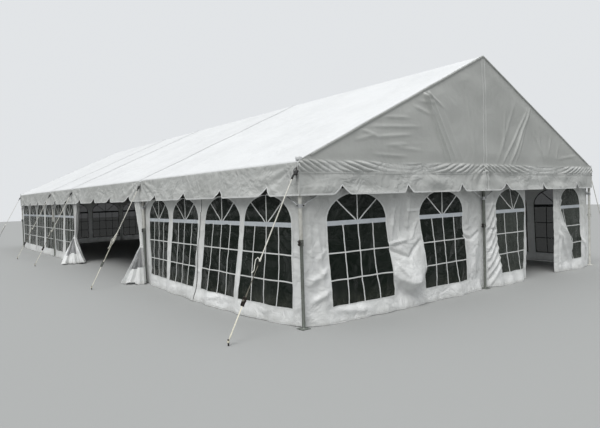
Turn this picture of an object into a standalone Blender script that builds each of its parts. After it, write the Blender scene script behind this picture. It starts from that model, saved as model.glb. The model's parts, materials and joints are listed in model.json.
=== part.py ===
"""Gable-end frame tent with hung window walls, as an assembly of named pieces.

X runs across the gable, Y from the front gable to the back one, and Z up.
The origin is on the ground in the middle of the plan.
"""

import math

import bmesh
import bpy
from mathutils import Matrix, Vector

# Plan and heights, in metres

WIDTH = 9.144            # between the centre lines of the side legs, 30 ft
FRONT_BAY = 6.096        # 20 ft, the front gable to the second leg line
DOOR_BAY = 6.096         # 20 ft, left open on the left side
SHORT_BAY = 3.048        # 10 ft
BACK_BAY = 6.096         # 20 ft
PANEL = 1.524            # 5 ft, the pitch of windows and scallops
EAVE = 2.438             # outer edge of the roof cloth, 8 ft
RIDGE = 4.572            # top of the roof cloth, 15 ft

# Cloth

CLOTH = 0.003            # roof and wall cloth, thicker than the real 0.5 mm
VINYL = 0.002            # clear window sheet
VALANCE_DROP = 0.505     # from the eave edge to the valance's bottom
NOTCH_STEEP = 0.11       # a notch's run from its tip to its bottom, on its steep side
NOTCH_GENTLE = 0.22      # and on its gentle side
NOTCH_HEIGHT = 0.14
SLIT = 0.026             # slot in the side valance where a guy line comes out
SLIT_ABOVE_LUG = 0.03
WALL_BOTTOM = 0.012      # the hem clears the foot plates
WALL_TOP_DROP = 0.060    # from the eave rail's centre to the wall's top
WINDOW_SILL = 0.25
WINDOW_SPRING = 1.54     # height where the arch begins
WINDOW_RISE = 0.42
WINDOW_LAP = 0.03        # how far the clear sheet reaches past its windows
ARCH_STEPS = 8

# Frame of tubes

TUBE_RADIUS = 0.030      # rails, ridge, rafters and upper legs
FITTING_WALL = 0.010     # how much thicker a fitting is than its tube
FITTING_LENGTH = 0.16
SLEEVE_WALL = 0.007
SLEEVE_DROP = 0.15       # from the rail's centre to the bottom of a leg sleeve
KING_POST_RADIUS = 0.025
LEG_STEP = 0.005         # how much thinner the lower leg is
CLAMP_HEIGHT = 1.25      # where the lower leg slides into the upper one
CLAMP_LENGTH = 0.095
CLAMP_SHARE = 0.95       # of a sleeve's radius, so that the clamp clears the wall
FOOT_SIDE = 0.15
FOOT_THICKNESS = 0.008
BRACE_RADIUS = 0.010
BRACE_HEIGHT = 1.75      # where a brace leaves its leg
BRACE_REACH = 1.20       # from the leg's centre, along the rail
BRACE_COLLAR = 0.055

# Guy lines

LUG_RADIUS = 0.008
LUG_DROP = 0.092         # from the rail's centre to the lug's centre
LUG_REACH = 0.034        # how far the lug stands out of the cloth
LUG_HEAD = 0.006
GUY_SPREAD = 1.25        # from the leg line to the stake
ROPE_RADIUS = 0.006
EYE_RADIUS = 0.034       # centre line of the ring on the lug
EYE_WIRE = 0.006
HOOK_HEIGHT = 1.05
HOOK_SIZE = (0.030, 0.020, 0.080)
DOUBLE_RADIUS = 0.010    # the two strands between hook and ratchet
RATCHET_HEIGHT = 0.54
RATCHET_SIZE = (0.050, 0.036, 0.135)
STRAP_SIZE = (0.030, 0.005)
STAKE_RADIUS = 0.0125
STAKE_TOP = 0.085
STAKE_WRAP = 0.030       # height of the strap's turn round the stake

# Door curtains. A foot's centre is measured out of the tent and into the doorway

CURTAIN_TIE_HEIGHT = 0.88
CURTAIN_TIE_RADIUS = 0.046
CURTAIN_TOP_HALF = 0.22  # half the width that the gathered cloth takes on the rail
CURTAIN_CLEARANCE = 0.012
CURTAIN_STEPS = 14       # points round one level
NEAR_FOOT_CENTRE = (0.28, 0.02)
NEAR_FOOT_HALF = (0.31, 0.07)
NEAR_FOOT_TURN = 132     # degrees, from across the tent to the foot's long way
FAR_FOOT_CENTRE = (0.19, 0.38)
FAR_FOOT_HALF = (0.40, 0.15)
FAR_FOOT_TURN = 156

# Fits

GAP = 0.0003             # between two pieces that touch
BORE_CLEARANCE = 0.0004  # between a tube's corners and its bore's corners
WELD = 0.00002           # corners nearer than this are one
SIDES = 12               # facets of a fitting and of the tube threaded through it
BAR_SIDES = 8            # facets of a rafter, a post or a leg

# Where the windows hang, in panels of the run, from its left end seen from outside.
# The left side counts from the front corner and the gable from the left corner.

LEFT_NEAR_WINDOWS = ((0.18, 1.05), (1.14, 1.97), (2.16, 2.96), (3.09, 3.80))
FRONT_WINDOWS = ((0.345, 1.20), (1.77, 2.59), (3.31, 4.02))
FRONT_DOOR = (4.06, 4.86)
FRONT_CORNER_WINDOWS = ((5.10, 5.70),)
PLAIN_WINDOW = (0.08, 0.92)

# Values worked out from the sizes above

HALF = WIDTH / 2
BAYS = (FRONT_BAY, DOOR_BAY, SHORT_BAY, BACK_BAY)
LENGTH = sum(BAYS)
LEG_LINES = [sum(BAYS[:count]) - LENGTH / 2 for count in range(len(BAYS) + 1)]
FITTING_RADIUS = TUBE_RADIUS + FITTING_WALL
SKIN = FITTING_RADIUS + GAP + CLOTH      # from the leg line out to the cloth's face
SLEEVE_RADIUS = TUBE_RADIUS + SLEEVE_WALL
INSET = SLEEVE_RADIUS + GAP              # from the leg line in to the wall's face
PITCH = math.atan2(RIDGE - EAVE, HALF + SKIN)
RAIL_Z = EAVE + SKIN * math.tan(PITCH) - SKIN / math.cos(PITCH)
CROWN_Z = RIDGE - SKIN / math.cos(PITCH)
SLEEVE_BOTTOM = RAIL_Z - SLEEVE_DROP
LUG_Z = RAIL_Z - LUG_DROP
WALL_TOP = RAIL_Z - WALL_TOP_DROP
VALANCE_BOTTOM = EAVE - VALANCE_DROP

UP = Vector((0, 0, 1))
ALONG = Vector((0, 1, 0))
ACROSS = Vector((1, 0, 0))
LEFT_SLOPE = Vector((-math.sin(PITCH), 0, math.cos(PITCH)))
RIGHT_SLOPE = Vector((math.sin(PITCH), 0, math.cos(PITCH)))

for old in list(bpy.data.objects):
    bpy.data.objects.remove(old)

tent = bpy.data.collections.new("marquee_tent")
helpers = bpy.data.collections.new("cutters")
bpy.context.scene.collection.children.link(tent)
bpy.context.scene.collection.children.link(helpers)


def material(name, color, roughness, metallic=0.0, alpha=1.0):
    made = bpy.data.materials.new(name)
    made.use_nodes = True
    shader = made.node_tree.nodes["Principled BSDF"]
    shader.inputs["Base Color"].default_value = (*color, 1.0)
    shader.inputs["Roughness"].default_value = roughness
    shader.inputs["Metallic"].default_value = metallic
    shader.inputs["Alpha"].default_value = alpha
    return made


ROOF_CLOTH = material("roof_cloth", (0.80, 0.81, 0.80), 0.42)
WALL_CLOTH = material("wall_cloth", (0.74, 0.75, 0.73), 0.48)
CLEAR_VINYL = material("clear_vinyl", (0.30, 0.33, 0.31), 0.12, alpha=0.35)
FRAME_TUBE = material("frame_tube", (0.62, 0.63, 0.64), 0.38, metallic=1.0)
LEG_TUBE = material("leg_tube", (0.40, 0.41, 0.40), 0.50, metallic=1.0)
GUY_LINE = material("guy_line", (0.70, 0.66, 0.54), 0.80)


def place(name, mesh, finish, location=(0, 0, 0), turn=0.0):
    """Put a finished mesh in the tent as its own named object."""
    if finish.name not in mesh.materials:
        mesh.materials.clear()
        mesh.materials.append(finish)
    piece = bpy.data.objects.new(name, mesh)
    piece.location = location
    piece.rotation_euler.z = turn
    tent.objects.link(piece)
    return piece


def helper(mesh):
    """A hidden wire-drawn object, for a Boolean or for a curve that becomes a mesh."""
    guide = bpy.data.objects.new("helper", mesh)
    guide.hide_render = True
    guide.display_type = "WIRE"
    helpers.objects.link(guide)
    return guide


def evaluated(guide):
    depsgraph = bpy.context.evaluated_depsgraph_get()
    return bpy.data.meshes.new_from_object(guide.evaluated_get(depsgraph))


def fused(pieces, cuts=()):
    """One closed mesh: the pieces joined, less the cuts, and without slivers."""
    body, *others = [helper(mesh) for mesh in pieces]
    tools = [helper(mesh) for mesh in cuts]
    for operation, group in (("UNION", others), ("DIFFERENCE", tools)):
        for tool in group:
            step = body.modifiers.new(operation.lower(), "BOOLEAN")
            step.operation = operation
            step.solver = "EXACT"
            step.object = tool
    shape = bmesh.new()
    shape.from_mesh(evaluated(body))
    bmesh.ops.remove_doubles(shape, verts=shape.verts, dist=WELD)
    bmesh.ops.dissolve_degenerate(shape, edges=shape.edges, dist=WELD)
    for guide in (body, *others, *tools):
        bpy.data.objects.remove(guide)
    return to_mesh(shape, "fused")


def to_mesh(shape, name):
    mesh = bpy.data.meshes.new(name)
    shape.to_mesh(mesh)
    shape.free()
    return mesh


def box(low, high):
    low, high = Vector(low), Vector(high)
    shape = bmesh.new()
    bmesh.ops.create_cube(shape, size=1.0)
    bmesh.ops.scale(shape, vec=high - low, verts=shape.verts)
    bmesh.ops.translate(shape, vec=(low + high) / 2, verts=shape.verts)
    return to_mesh(shape, "box")


def aim(start, end, toward):
    """The matrix that lays local Z from start to end and turns local Y to one side."""
    axis = (end - start).normalized()
    side = (toward - axis * toward.dot(axis)).normalized()
    turn = Matrix((side.cross(axis), side, axis)).transposed().to_4x4()
    return Matrix.Translation((start + end) / 2) @ turn


def tube(start, end, radius, toward=ALONG, sides=SIDES):
    """A closed round bar with one of its corners turned to the side named."""
    start, end = Vector(start), Vector(end)
    shape = bmesh.new()
    bmesh.ops.create_cone(shape, cap_ends=True, segments=sides, radius1=radius,
                          radius2=radius, depth=(end - start).length,
                          matrix=aim(start, end, toward))
    mesh = to_mesh(shape, "tube")
    mesh.shade_smooth()
    mesh.set_sharp_from_angle(angle=math.radians(40))
    return mesh


def bar(start, end, width, thickness):
    """A flat bar or block whose width lies along Y."""
    start, end = Vector(start), Vector(end)
    shape = bmesh.new()
    bmesh.ops.create_cube(shape, size=1.0)
    bmesh.ops.scale(shape, vec=(thickness, width, (end - start).length), verts=shape.verts)
    bmesh.ops.transform(shape, matrix=aim(start, end, ALONG), verts=shape.verts)
    return to_mesh(shape, "bar")


def flat_sheet(outlines, thickness, facing, centre):
    """A flat sheet from 2D outlines, holes among them, upright and facing X or Y."""
    curve = bpy.data.curves.new("outline", "CURVE")
    curve.dimensions = "2D"
    curve.fill_mode = "BOTH"
    curve.extrude = thickness / 2
    for outline in outlines:
        spline = curve.splines.new("POLY")
        spline.points.add(len(outline) - 1)
        for point, (across, up) in zip(spline.points, outline):
            point.co = (across, up, 0, 1)
        spline.use_cyclic_u = True
    guide = helper(curve)
    mesh = evaluated(guide)
    bpy.data.objects.remove(guide)
    if facing == "X":
        turn = Matrix((ALONG, UP, ACROSS)).transposed().to_4x4()
    else:
        turn = Matrix((ACROSS, UP, -ALONG)).transposed().to_4x4()
    shape = bmesh.new()
    shape.from_mesh(mesh)
    bmesh.ops.remove_doubles(shape, verts=shape.verts, dist=WELD)
    bmesh.ops.transform(shape, matrix=Matrix.Translation(centre) @ turn, verts=shape.verts)
    return to_mesh(shape, "sheet")


def cloth_z(across):
    """Height of the roof cloth's outer face at a distance from the middle."""
    return EAVE + (HALF + SKIN - abs(across)) * math.tan(PITCH)


def scallop_places(start, end):
    """Tips of the notches of one valance run, one for each panel."""
    count = max(1, round((end - start) / PANEL))
    pitch = (end - start) / count
    return [start + (index + 0.5) * pitch for index in range(count)]


def notch_outline(tip, bottom):
    """Up the steep side, on the lower end of the run, and down the gentle one."""
    return [(tip - NOTCH_STEEP, bottom), (tip, VALANCE_BOTTOM + NOTCH_HEIGHT),
            (tip + NOTCH_GENTLE, bottom)]


# Roof cloth: each section is one sheet over the ridge with a valance on both sides

def roof_section(first, last):
    start = LEG_LINES[first] + GAP / 2 if first else LEG_LINES[0] - SKIN
    end = LEG_LINES[last] - GAP / 2 if last < len(BAYS) else LEG_LINES[-1] + SKIN
    edge = HALF + SKIN
    profile = [(-edge, VALANCE_BOTTOM), (-edge, EAVE), (0, RIDGE), (edge, EAVE),
               (edge, VALANCE_BOTTOM)]
    shape = bmesh.new()
    points = [shape.verts.new((x, start, z)) for x, z in profile]
    edges = [shape.edges.new(pair) for pair in zip(points, points[1:])]
    swept = bmesh.ops.extrude_edge_only(shape, edges=edges)
    moved = [item for item in swept["geom"] if isinstance(item, bmesh.types.BMVert)]
    bmesh.ops.translate(shape, vec=(0, end - start, 0), verts=moved)
    bmesh.ops.recalc_face_normals(shape, faces=shape.faces)
    shape.faces.ensure_lookup_table()
    if shape.faces[1].normal.z < 0:
        bmesh.ops.reverse_faces(shape, faces=shape.faces)
    sheet = helper(to_mesh(shape, "roof"))
    wall = sheet.modifiers.new("thickness", "SOLIDIFY")
    wall.thickness = CLOTH
    wall.offset = -1
    wall.use_even_offset = True
    thick = evaluated(sheet)
    bpy.data.objects.remove(sheet)
    below = VALANCE_BOTTOM - NOTCH_HEIGHT / 10
    notches = [notch_outline(tip, below)
               for tip in scallop_places(LEG_LINES[first], LEG_LINES[last])]
    cutters = [flat_sheet(notches, WIDTH * 2, "X", (0, 0, 0))]
    for line in (LEG_LINES[first], LEG_LINES[last]):
        for side in (-1, 1):
            outer, inner = side * (edge + CLOTH * 4), side * (edge - CLOTH * 4)
            cutters.append(box((min(outer, inner), line - SLIT / 2, VALANCE_BOTTOM - CLOTH * 4),
                               (max(outer, inner), line + SLIT / 2, LUG_Z + SLIT_ABOVE_LUG)))
    return fused([thick], cutters)


for index in range(len(BAYS)):
    place(f"roof_section_{index + 1}", roof_section(index, index + 1), ROOF_CLOTH)


# Gable cloths: a triangle over a scalloped valance, tucked under the roof's edge

def gable_cloth(side):
    edge = HALF + SKIN - CLOTH - GAP
    tuck = (CLOTH + GAP) / math.cos(PITCH)
    outline = [(-edge, VALANCE_BOTTOM)]
    for tip in scallop_places(-HALF, HALF):
        outline += notch_outline(tip, VALANCE_BOTTOM)
    outline += [(edge, VALANCE_BOTTOM), (edge, cloth_z(edge) - tuck), (0, RIDGE - tuck),
                (-edge, cloth_z(edge) - tuck)]
    return flat_sheet([outline], CLOTH, "Y", (0, side * (LENGTH / 2 + SKIN - CLOTH / 2), 0))


place("gable_cloth_front", gable_cloth(-1), ROOF_CLOTH)
place("gable_cloth_back", gable_cloth(1), ROOF_CLOTH)


# Walls and their clear sheets

def window_outline(left, right):
    """A tall window with an elliptical arch, as points in the wall's own plane."""
    middle, half = (left + right) / 2, (right - left) / 2
    points = [(left, WINDOW_SILL), (right, WINDOW_SILL)]
    for step in range(ARCH_STEPS + 1):
        angle = math.pi * step / ARCH_STEPS
        points.append((middle + half * math.cos(angle),
                       WINDOW_SPRING + WINDOW_RISE * math.sin(angle)))
    return points


def wall_with_windows(name, facing, plane, start, end, windows):
    """Hang one wall: cloth with its windows cut through, and the sheet behind them.

    plane is the leg line that the wall hangs inside, on X or Y.
    """
    side = math.copysign(1, plane)
    hem = [(start, WALL_BOTTOM), (end, WALL_BOTTOM), (end, WALL_TOP), (start, WALL_TOP)]
    cloth_at = plane - side * (INSET + CLOTH / 2)
    sheet_at = plane - side * (INSET + CLOTH + GAP + VINYL / 2)
    left, right = windows[0][0] - WINDOW_LAP, windows[-1][1] + WINDOW_LAP
    low, high = WINDOW_SILL - WINDOW_LAP, WINDOW_SPRING + WINDOW_RISE + WINDOW_LAP
    pane = [(left, low), (right, low), (right, high), (left, high)]
    axis = ACROSS if facing == "X" else ALONG
    holes = [window_outline(*window) for window in windows]
    place(name, flat_sheet([hem, *holes], CLOTH, facing, axis * cloth_at), WALL_CLOTH)
    place(f"{name}_windows", flat_sheet([pane], VINYL, facing, axis * sheet_at), CLEAR_VINYL)


def plain_windows(start, end):
    """One window in each panel of a run."""
    count = max(1, round((end - start) / PANEL))
    panel = (end - start) / count
    return [(start + (index + PLAIN_WINDOW[0]) * panel, start + (index + PLAIN_WINDOW[1]) * panel)
            for index in range(count)]


def hung_windows(start, panel, places):
    return [(start + left * panel, start + right * panel) for left, right in places]


side_start = LEG_LINES[0] + INSET + CLOTH + GAP
side_end = LEG_LINES[-1] - INSET - CLOTH - GAP
left_panel = FRONT_BAY / round(FRONT_BAY / PANEL)
gable_panel = WIDTH / round(WIDTH / PANEL)
door_left, door_right = (-HALF + edge * gable_panel for edge in FRONT_DOOR)

wall_with_windows("left_wall_near", "X", -HALF, side_start, LEG_LINES[1] + FITTING_RADIUS,
                  hung_windows(LEG_LINES[0], left_panel, LEFT_NEAR_WINDOWS))
wall_with_windows("left_wall_far", "X", -HALF, LEG_LINES[2] - FITTING_RADIUS, side_end,
                  plain_windows(LEG_LINES[2], LEG_LINES[4]))
wall_with_windows("right_wall", "X", HALF, side_start, side_end,
                  plain_windows(LEG_LINES[0], LEG_LINES[4]))
wall_with_windows("front_wall", "Y", LEG_LINES[0], -HALF + INSET, door_left,
                  hung_windows(-HALF, gable_panel, FRONT_WINDOWS))
wall_with_windows("front_corner_wall", "Y", LEG_LINES[0], door_right, HALF - INSET,
                  hung_windows(-HALF, gable_panel, FRONT_CORNER_WINDOWS))
wall_with_windows("back_wall", "Y", LEG_LINES[-1], -HALF + INSET, HALF - INSET,
                  plain_windows(-HALF, HALF))


# Door curtains: the open bay's cloth, gathered, tied to a leg and flared at the foot

def loft(levels):
    """A closed solid through level ellipses: height, centre, two half sizes and a turn."""
    shape = bmesh.new()
    rings = []
    for height, (x, y), (long_half, short_half), turn in levels:
        ring = []
        for step in range(CURTAIN_STEPS):
            angle = 2 * math.pi * step / CURTAIN_STEPS
            along, across = long_half * math.cos(angle), short_half * math.sin(angle)
            ring.append(shape.verts.new((x + along * math.cos(turn) - across * math.sin(turn),
                                         y + along * math.sin(turn) + across * math.cos(turn),
                                         height)))
        rings.append(ring)
    for low, high in zip(rings, rings[1:]):
        for step in range(CURTAIN_STEPS):
            after = (step + 1) % CURTAIN_STEPS
            shape.faces.new((low[step], low[after], high[after], high[step]))
    shape.faces.new(reversed(rings[0]))
    shape.faces.new(rings[-1])
    bmesh.ops.recalc_face_normals(shape, faces=shape.faces)
    mesh = to_mesh(shape, "curtain")
    mesh.shade_smooth()
    return mesh


def between(share, low, high):
    return low + (high - low) * share


def door_curtain(line, toward, foot_centre, foot_half, foot_turn):
    """One curtain from the rail down to its tie beside a leg, and out to its foot.

    toward is +1 where the doorway lies beyond the leg on +Y, and -1 where on -Y.
    The foot's centre is measured from the leg, out of the tent and into the doorway.
    """
    upright = math.pi / 2
    top = RAIL_Z - TUBE_RADIUS - GAP
    tie_x = -HALF - TUBE_RADIUS - CURTAIN_CLEARANCE
    tie_y = line + toward * (TUBE_RADIUS + CURTAIN_TIE_RADIUS + CURTAIN_CLEARANCE)
    top_y = line + toward * (FITTING_LENGTH / 2 + CURTAIN_TOP_HALF + CURTAIN_CLEARANCE)
    neck_x = tie_x - CURTAIN_TIE_RADIUS
    foot_x, foot_y = -HALF - foot_centre[0], line + toward * foot_centre[1]
    levels = [
        (WALL_BOTTOM, (foot_x, foot_y), foot_half, foot_turn),
        (0.45 * CURTAIN_TIE_HEIGHT,
         (between(0.4, foot_x, neck_x), between(0.4, foot_y, tie_y)),
         (foot_half[0] * 0.62, foot_half[1] * 0.75), foot_turn),
        (0.85 * CURTAIN_TIE_HEIGHT, (neck_x, between(0.88, foot_y, tie_y)),
         (foot_half[0] * 0.22, foot_half[1] * 0.55), foot_turn),
        (CURTAIN_TIE_HEIGHT, (tie_x, tie_y),
         (CURTAIN_TIE_RADIUS, CURTAIN_TIE_RADIUS * 0.8), upright),
        (between(0.3, CURTAIN_TIE_HEIGHT, top), (-HALF, between(0.3, tie_y, top_y)),
         (CURTAIN_TOP_HALF * 0.5, CURTAIN_TIE_RADIUS), upright),
        (between(0.7, CURTAIN_TIE_HEIGHT, top), (-HALF, between(0.8, tie_y, top_y)),
         (CURTAIN_TOP_HALF * 0.86, FITTING_RADIUS * 0.9), upright),
        (top, (-HALF, top_y), (CURTAIN_TOP_HALF, FITTING_RADIUS * 0.8), upright),
    ]
    return loft(levels)


near_curtain = door_curtain(LEG_LINES[1], 1, NEAR_FOOT_CENTRE, NEAR_FOOT_HALF,
                            math.radians(NEAR_FOOT_TURN))
far_curtain = door_curtain(LEG_LINES[2], -1, FAR_FOOT_CENTRE, FAR_FOOT_HALF,
                           math.radians(FAR_FOOT_TURN))
place("door_curtain_near", near_curtain, WALL_CLOTH)
place("door_curtain_far", far_curtain, WALL_CLOTH)


# Rafter frames: two rafters with a crown fitting and two eave fittings with sleeves

def frame_mesh(outer_reach, gable=False):
    """A rafter frame at y = 0. outer_reach is how far its fittings go on -Y."""
    eaves = [(Vector((side * HALF, 0, RAIL_Z)), slope)
             for side, slope in ((-1, LEFT_SLOPE), (1, RIGHT_SLOPE))]
    crown = Vector((0, 0, CROWN_Z))
    inner = ALONG * FITTING_LENGTH / 2
    outer = -ALONG * outer_reach
    pieces = [tube(crown + outer, crown + inner, FITTING_RADIUS, UP)]
    cuts = [tube(crown - ALONG, crown + ALONG, TUBE_RADIUS + BORE_CLEARANCE, UP)]
    for eave, slope in eaves:
        out = ACROSS * math.copysign(1, eave.x)
        lug_root = Vector((eave.x, 0, LUG_Z))
        lug_end = lug_root + out * (SKIN + LUG_REACH)
        pieces += [
            tube(eave + outer, eave + inner, FITTING_RADIUS, slope),
            tube(eave, crown, TUBE_RADIUS, sides=BAR_SIDES),
            tube(eave, (eave.x, 0, SLEEVE_BOTTOM), SLEEVE_RADIUS),
            tube(lug_root, lug_end + out * LUG_HEAD / 2, LUG_RADIUS, sides=6),
            tube(lug_end, lug_end + out * LUG_HEAD, LUG_RADIUS * 1.6, sides=6),
        ]
        cuts.append(tube(eave - ALONG, eave + ALONG, TUBE_RADIUS + BORE_CLEARANCE, slope))
    if gable:
        middle = Vector((0, 0, RAIL_Z))
        reach = ACROSS * FITTING_LENGTH / 2
        pieces += [
            tube(eaves[0][0], eaves[1][0], TUBE_RADIUS, UP, BAR_SIDES),
            tube(middle, crown, KING_POST_RADIUS, sides=BAR_SIDES),
            tube(middle - reach, middle + reach, FITTING_RADIUS, UP),
            tube(middle, (0, 0, SLEEVE_BOTTOM), SLEEVE_RADIUS),
        ]
    return fused(pieces, cuts)


inner_frame = frame_mesh(FITTING_LENGTH / 2)
gable_frame = frame_mesh(FITTING_RADIUS, gable=True)
place("gable_frame_front", gable_frame, FRAME_TUBE, (0, LEG_LINES[0], 0))
for number, line in enumerate(LEG_LINES[1:-1], start=1):
    place(f"rafter_frame_{number}", inner_frame, FRAME_TUBE, (0, line, 0))
place("gable_frame_back", gable_frame, FRAME_TUBE, (0, LEG_LINES[-1], 0), turn=math.pi)


# Rails and ridge pole, each threaded through the fittings' bores

def long_tube(x, z, toward):
    reach = LENGTH / 2 + FITTING_RADIUS
    return tube((x, -reach, z), (x, reach, z), TUBE_RADIUS, toward)


place("left_eave_rail", long_tube(-HALF, RAIL_Z, LEFT_SLOPE), FRAME_TUBE)
place("right_eave_rail", long_tube(HALF, RAIL_Z, RIGHT_SLOPE), FRAME_TUBE)
place("ridge_pole", long_tube(0, CROWN_Z, UP), FRAME_TUBE)


# Legs: a foot plate, a lower tube that slides into the upper one, and slanting braces

def leg_mesh(brace_directions):
    top = SLEEVE_BOTTOM - GAP
    lower = TUBE_RADIUS - LEG_STEP
    clamp_half = SLEEVE_RADIUS * CLAMP_SHARE
    clamp = Vector((clamp_half, clamp_half, CLAMP_LENGTH / 2))
    centre = Vector((0, 0, CLAMP_HEIGHT))
    foot = FOOT_SIDE / 2
    pieces = [
        box((-foot, -foot, 0), (foot, foot, FOOT_THICKNESS)),
        tube((0, 0, FOOT_THICKNESS / 2), centre, lower, sides=BAR_SIDES),
        tube((0, 0, CLAMP_HEIGHT - clamp.z / 2), (0, 0, top), TUBE_RADIUS, sides=BAR_SIDES),
        box(centre - clamp, centre + clamp),
        tube((0, 0, BRACE_HEIGHT - BRACE_COLLAR / 2), (0, 0, BRACE_HEIGHT + BRACE_COLLAR / 2),
             SLEEVE_RADIUS * CLAMP_SHARE, sides=BAR_SIDES),
    ]
    brace_top = RAIL_Z - TUBE_RADIUS - BRACE_RADIUS - GAP
    for direction in brace_directions:
        reach = direction * BRACE_REACH
        pieces.append(tube((0, 0, BRACE_HEIGHT), (reach.x, reach.y, brace_top), BRACE_RADIUS,
                           direction.cross(UP), sides=6))
    return fused(pieces)


def side_braces(number, side):
    """Ways that a side leg's braces point. None crosses the open bay's doorway."""
    ways = []
    last = len(LEG_LINES) - 1
    if number > 0 and not (side < 0 and number == 2):
        ways.append(-ALONG)
    if number < last and not (side < 0 and number == 1):
        ways.append(ALONG)
    if number in (0, last):
        ways.append(ACROSS * -side)
    return ways


for side, side_name in ((-1, "left"), (1, "right")):
    for number, line in enumerate(LEG_LINES):
        place(f"leg_{side_name}_{number + 1}", leg_mesh(side_braces(number, side)), LEG_TUBE,
              (side * HALF, line, 0))
center_leg = leg_mesh([-ACROSS, ACROSS])
place("leg_front_center", center_leg, LEG_TUBE, (0, LEG_LINES[0], 0))
place("leg_back_center", center_leg, LEG_TUBE, (0, LEG_LINES[-1], 0))


# Guy lines: an eye on the lug, rope, hook, ratchet and strap down to a stake

def eye_ring(centre, normal):
    bpy.ops.mesh.primitive_torus_add(major_segments=8, minor_segments=4,
                                     major_radius=EYE_RADIUS, minor_radius=EYE_WIRE)
    ring = bpy.context.object
    mesh = ring.data.copy()
    bpy.data.objects.remove(ring)
    mesh.transform(aim(centre - normal, centre + normal, ALONG))
    return mesh


def guy_mesh():
    """The guy line of the left side, in the plane of its leg line at y = 0."""
    lug = Vector((-HALF - SKIN - LUG_REACH / 2, 0, LUG_Z))
    stake = Vector((-HALF - GUY_SPREAD, 0, STAKE_TOP - STAKE_WRAP))
    down = (stake - lug).normalized()
    hang = EYE_RADIUS - (LUG_RADIUS + GAP + EYE_WIRE) / abs(down.z)
    ring_centre = lug + down * hang

    def at_height(height):
        return lug + down * ((height - lug.z) / down.z)

    def block(height, size):
        middle = at_height(height)
        return bar(middle - down * size[2] / 2, middle + down * size[2] / 2, size[0], size[1])

    pieces = [
        eye_ring(ring_centre, down.cross(ALONG)),
        tube(ring_centre + down * EYE_RADIUS, at_height(HOOK_HEIGHT), ROPE_RADIUS, sides=6),
        block(HOOK_HEIGHT, HOOK_SIZE),
        tube(at_height(HOOK_HEIGHT), at_height(RATCHET_HEIGHT), DOUBLE_RADIUS, sides=6),
        block(RATCHET_HEIGHT, RATCHET_SIZE),
        bar(at_height(RATCHET_HEIGHT), stake, *STRAP_SIZE),
        tube((stake.x, 0, 0), (stake.x, 0, STAKE_TOP), STAKE_RADIUS, sides=8),
        tube(stake - UP * STAKE_WRAP / 2, stake + UP * STAKE_WRAP / 2,
             STAKE_RADIUS + STRAP_SIZE[1], sides=8),
    ]
    return fused(pieces)


guy = guy_mesh()
for number, line in enumerate(LEG_LINES, start=1):
    place(f"guy_left_{number}", guy, GUY_LINE, (0, line, 0))
    place(f"guy_right_{number}", guy, GUY_LINE, (0, line, 0), turn=math.pi)
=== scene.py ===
# %% [markdown]
# # A frame tent and its cloth
# A frame tent is a rack of tubes with cloth laced over it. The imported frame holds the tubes,
# and plain flat solids where the cloth hangs. This lesson keeps the tubes, and makes what
# the solids leave out: cloth that sags, bellies and creases, clear windows with their
# bars, gathered door curtains, twisted ropes, ratchets and the legs' clamps.

import json
import math

import bmesh
import bpy
import numpy as np
from mathutils import Matrix, Vector
from mathutils.geometry import delaunay_2d_cdt
from mathutils.kdtree import KDTree


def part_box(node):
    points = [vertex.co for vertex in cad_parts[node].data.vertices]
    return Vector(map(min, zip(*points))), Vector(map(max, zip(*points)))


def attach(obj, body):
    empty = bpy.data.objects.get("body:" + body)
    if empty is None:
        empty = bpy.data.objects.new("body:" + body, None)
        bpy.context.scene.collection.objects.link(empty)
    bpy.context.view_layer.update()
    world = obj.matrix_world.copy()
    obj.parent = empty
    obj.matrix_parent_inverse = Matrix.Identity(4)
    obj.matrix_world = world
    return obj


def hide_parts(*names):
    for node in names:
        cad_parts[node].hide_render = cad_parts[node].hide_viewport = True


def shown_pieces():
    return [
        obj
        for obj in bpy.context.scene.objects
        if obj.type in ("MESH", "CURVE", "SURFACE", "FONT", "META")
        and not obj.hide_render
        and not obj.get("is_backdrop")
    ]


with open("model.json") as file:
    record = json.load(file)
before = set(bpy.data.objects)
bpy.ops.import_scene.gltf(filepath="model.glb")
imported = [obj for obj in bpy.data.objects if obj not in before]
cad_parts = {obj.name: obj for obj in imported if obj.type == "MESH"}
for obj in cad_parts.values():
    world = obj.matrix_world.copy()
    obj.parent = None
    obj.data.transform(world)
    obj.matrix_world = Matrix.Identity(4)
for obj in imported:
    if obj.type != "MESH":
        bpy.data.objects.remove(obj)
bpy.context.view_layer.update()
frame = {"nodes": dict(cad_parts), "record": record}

# %% [markdown]
# The frame says where everything is. The feet give the leg lines, the rails give the
# height of the eaves, and the plain sheets give the faces that the cloth has to lie on.
# Reading them here keeps this file right when the tent is made longer or taller.

# %% Places taken from the frame
feet = {mount["name"]: Vector(mount["pos_m"]) for mount in frame["record"]["mounts"]}
LEG_LINES = [feet[f"foot_left_{number}"].y for number in range(1, 6)]
FRONT_LINE, BACK_LINE = LEG_LINES[0], LEG_LINES[-1]
HALF = feet["foot_right_1"].x
SIDES = (("left", -1), ("right", 1))
PANEL = 1.524                               # the pitch of windows and notches
TUBE_RADIUS = 0.030
GAP = 0.0003
X_AXIS, Y_AXIS, UP = Vector((1, 0, 0)), Vector((0, 1, 0)), Vector((0, 0, 1))


def centre_of(node):
    low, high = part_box(node)
    return (low + high) / 2


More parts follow.
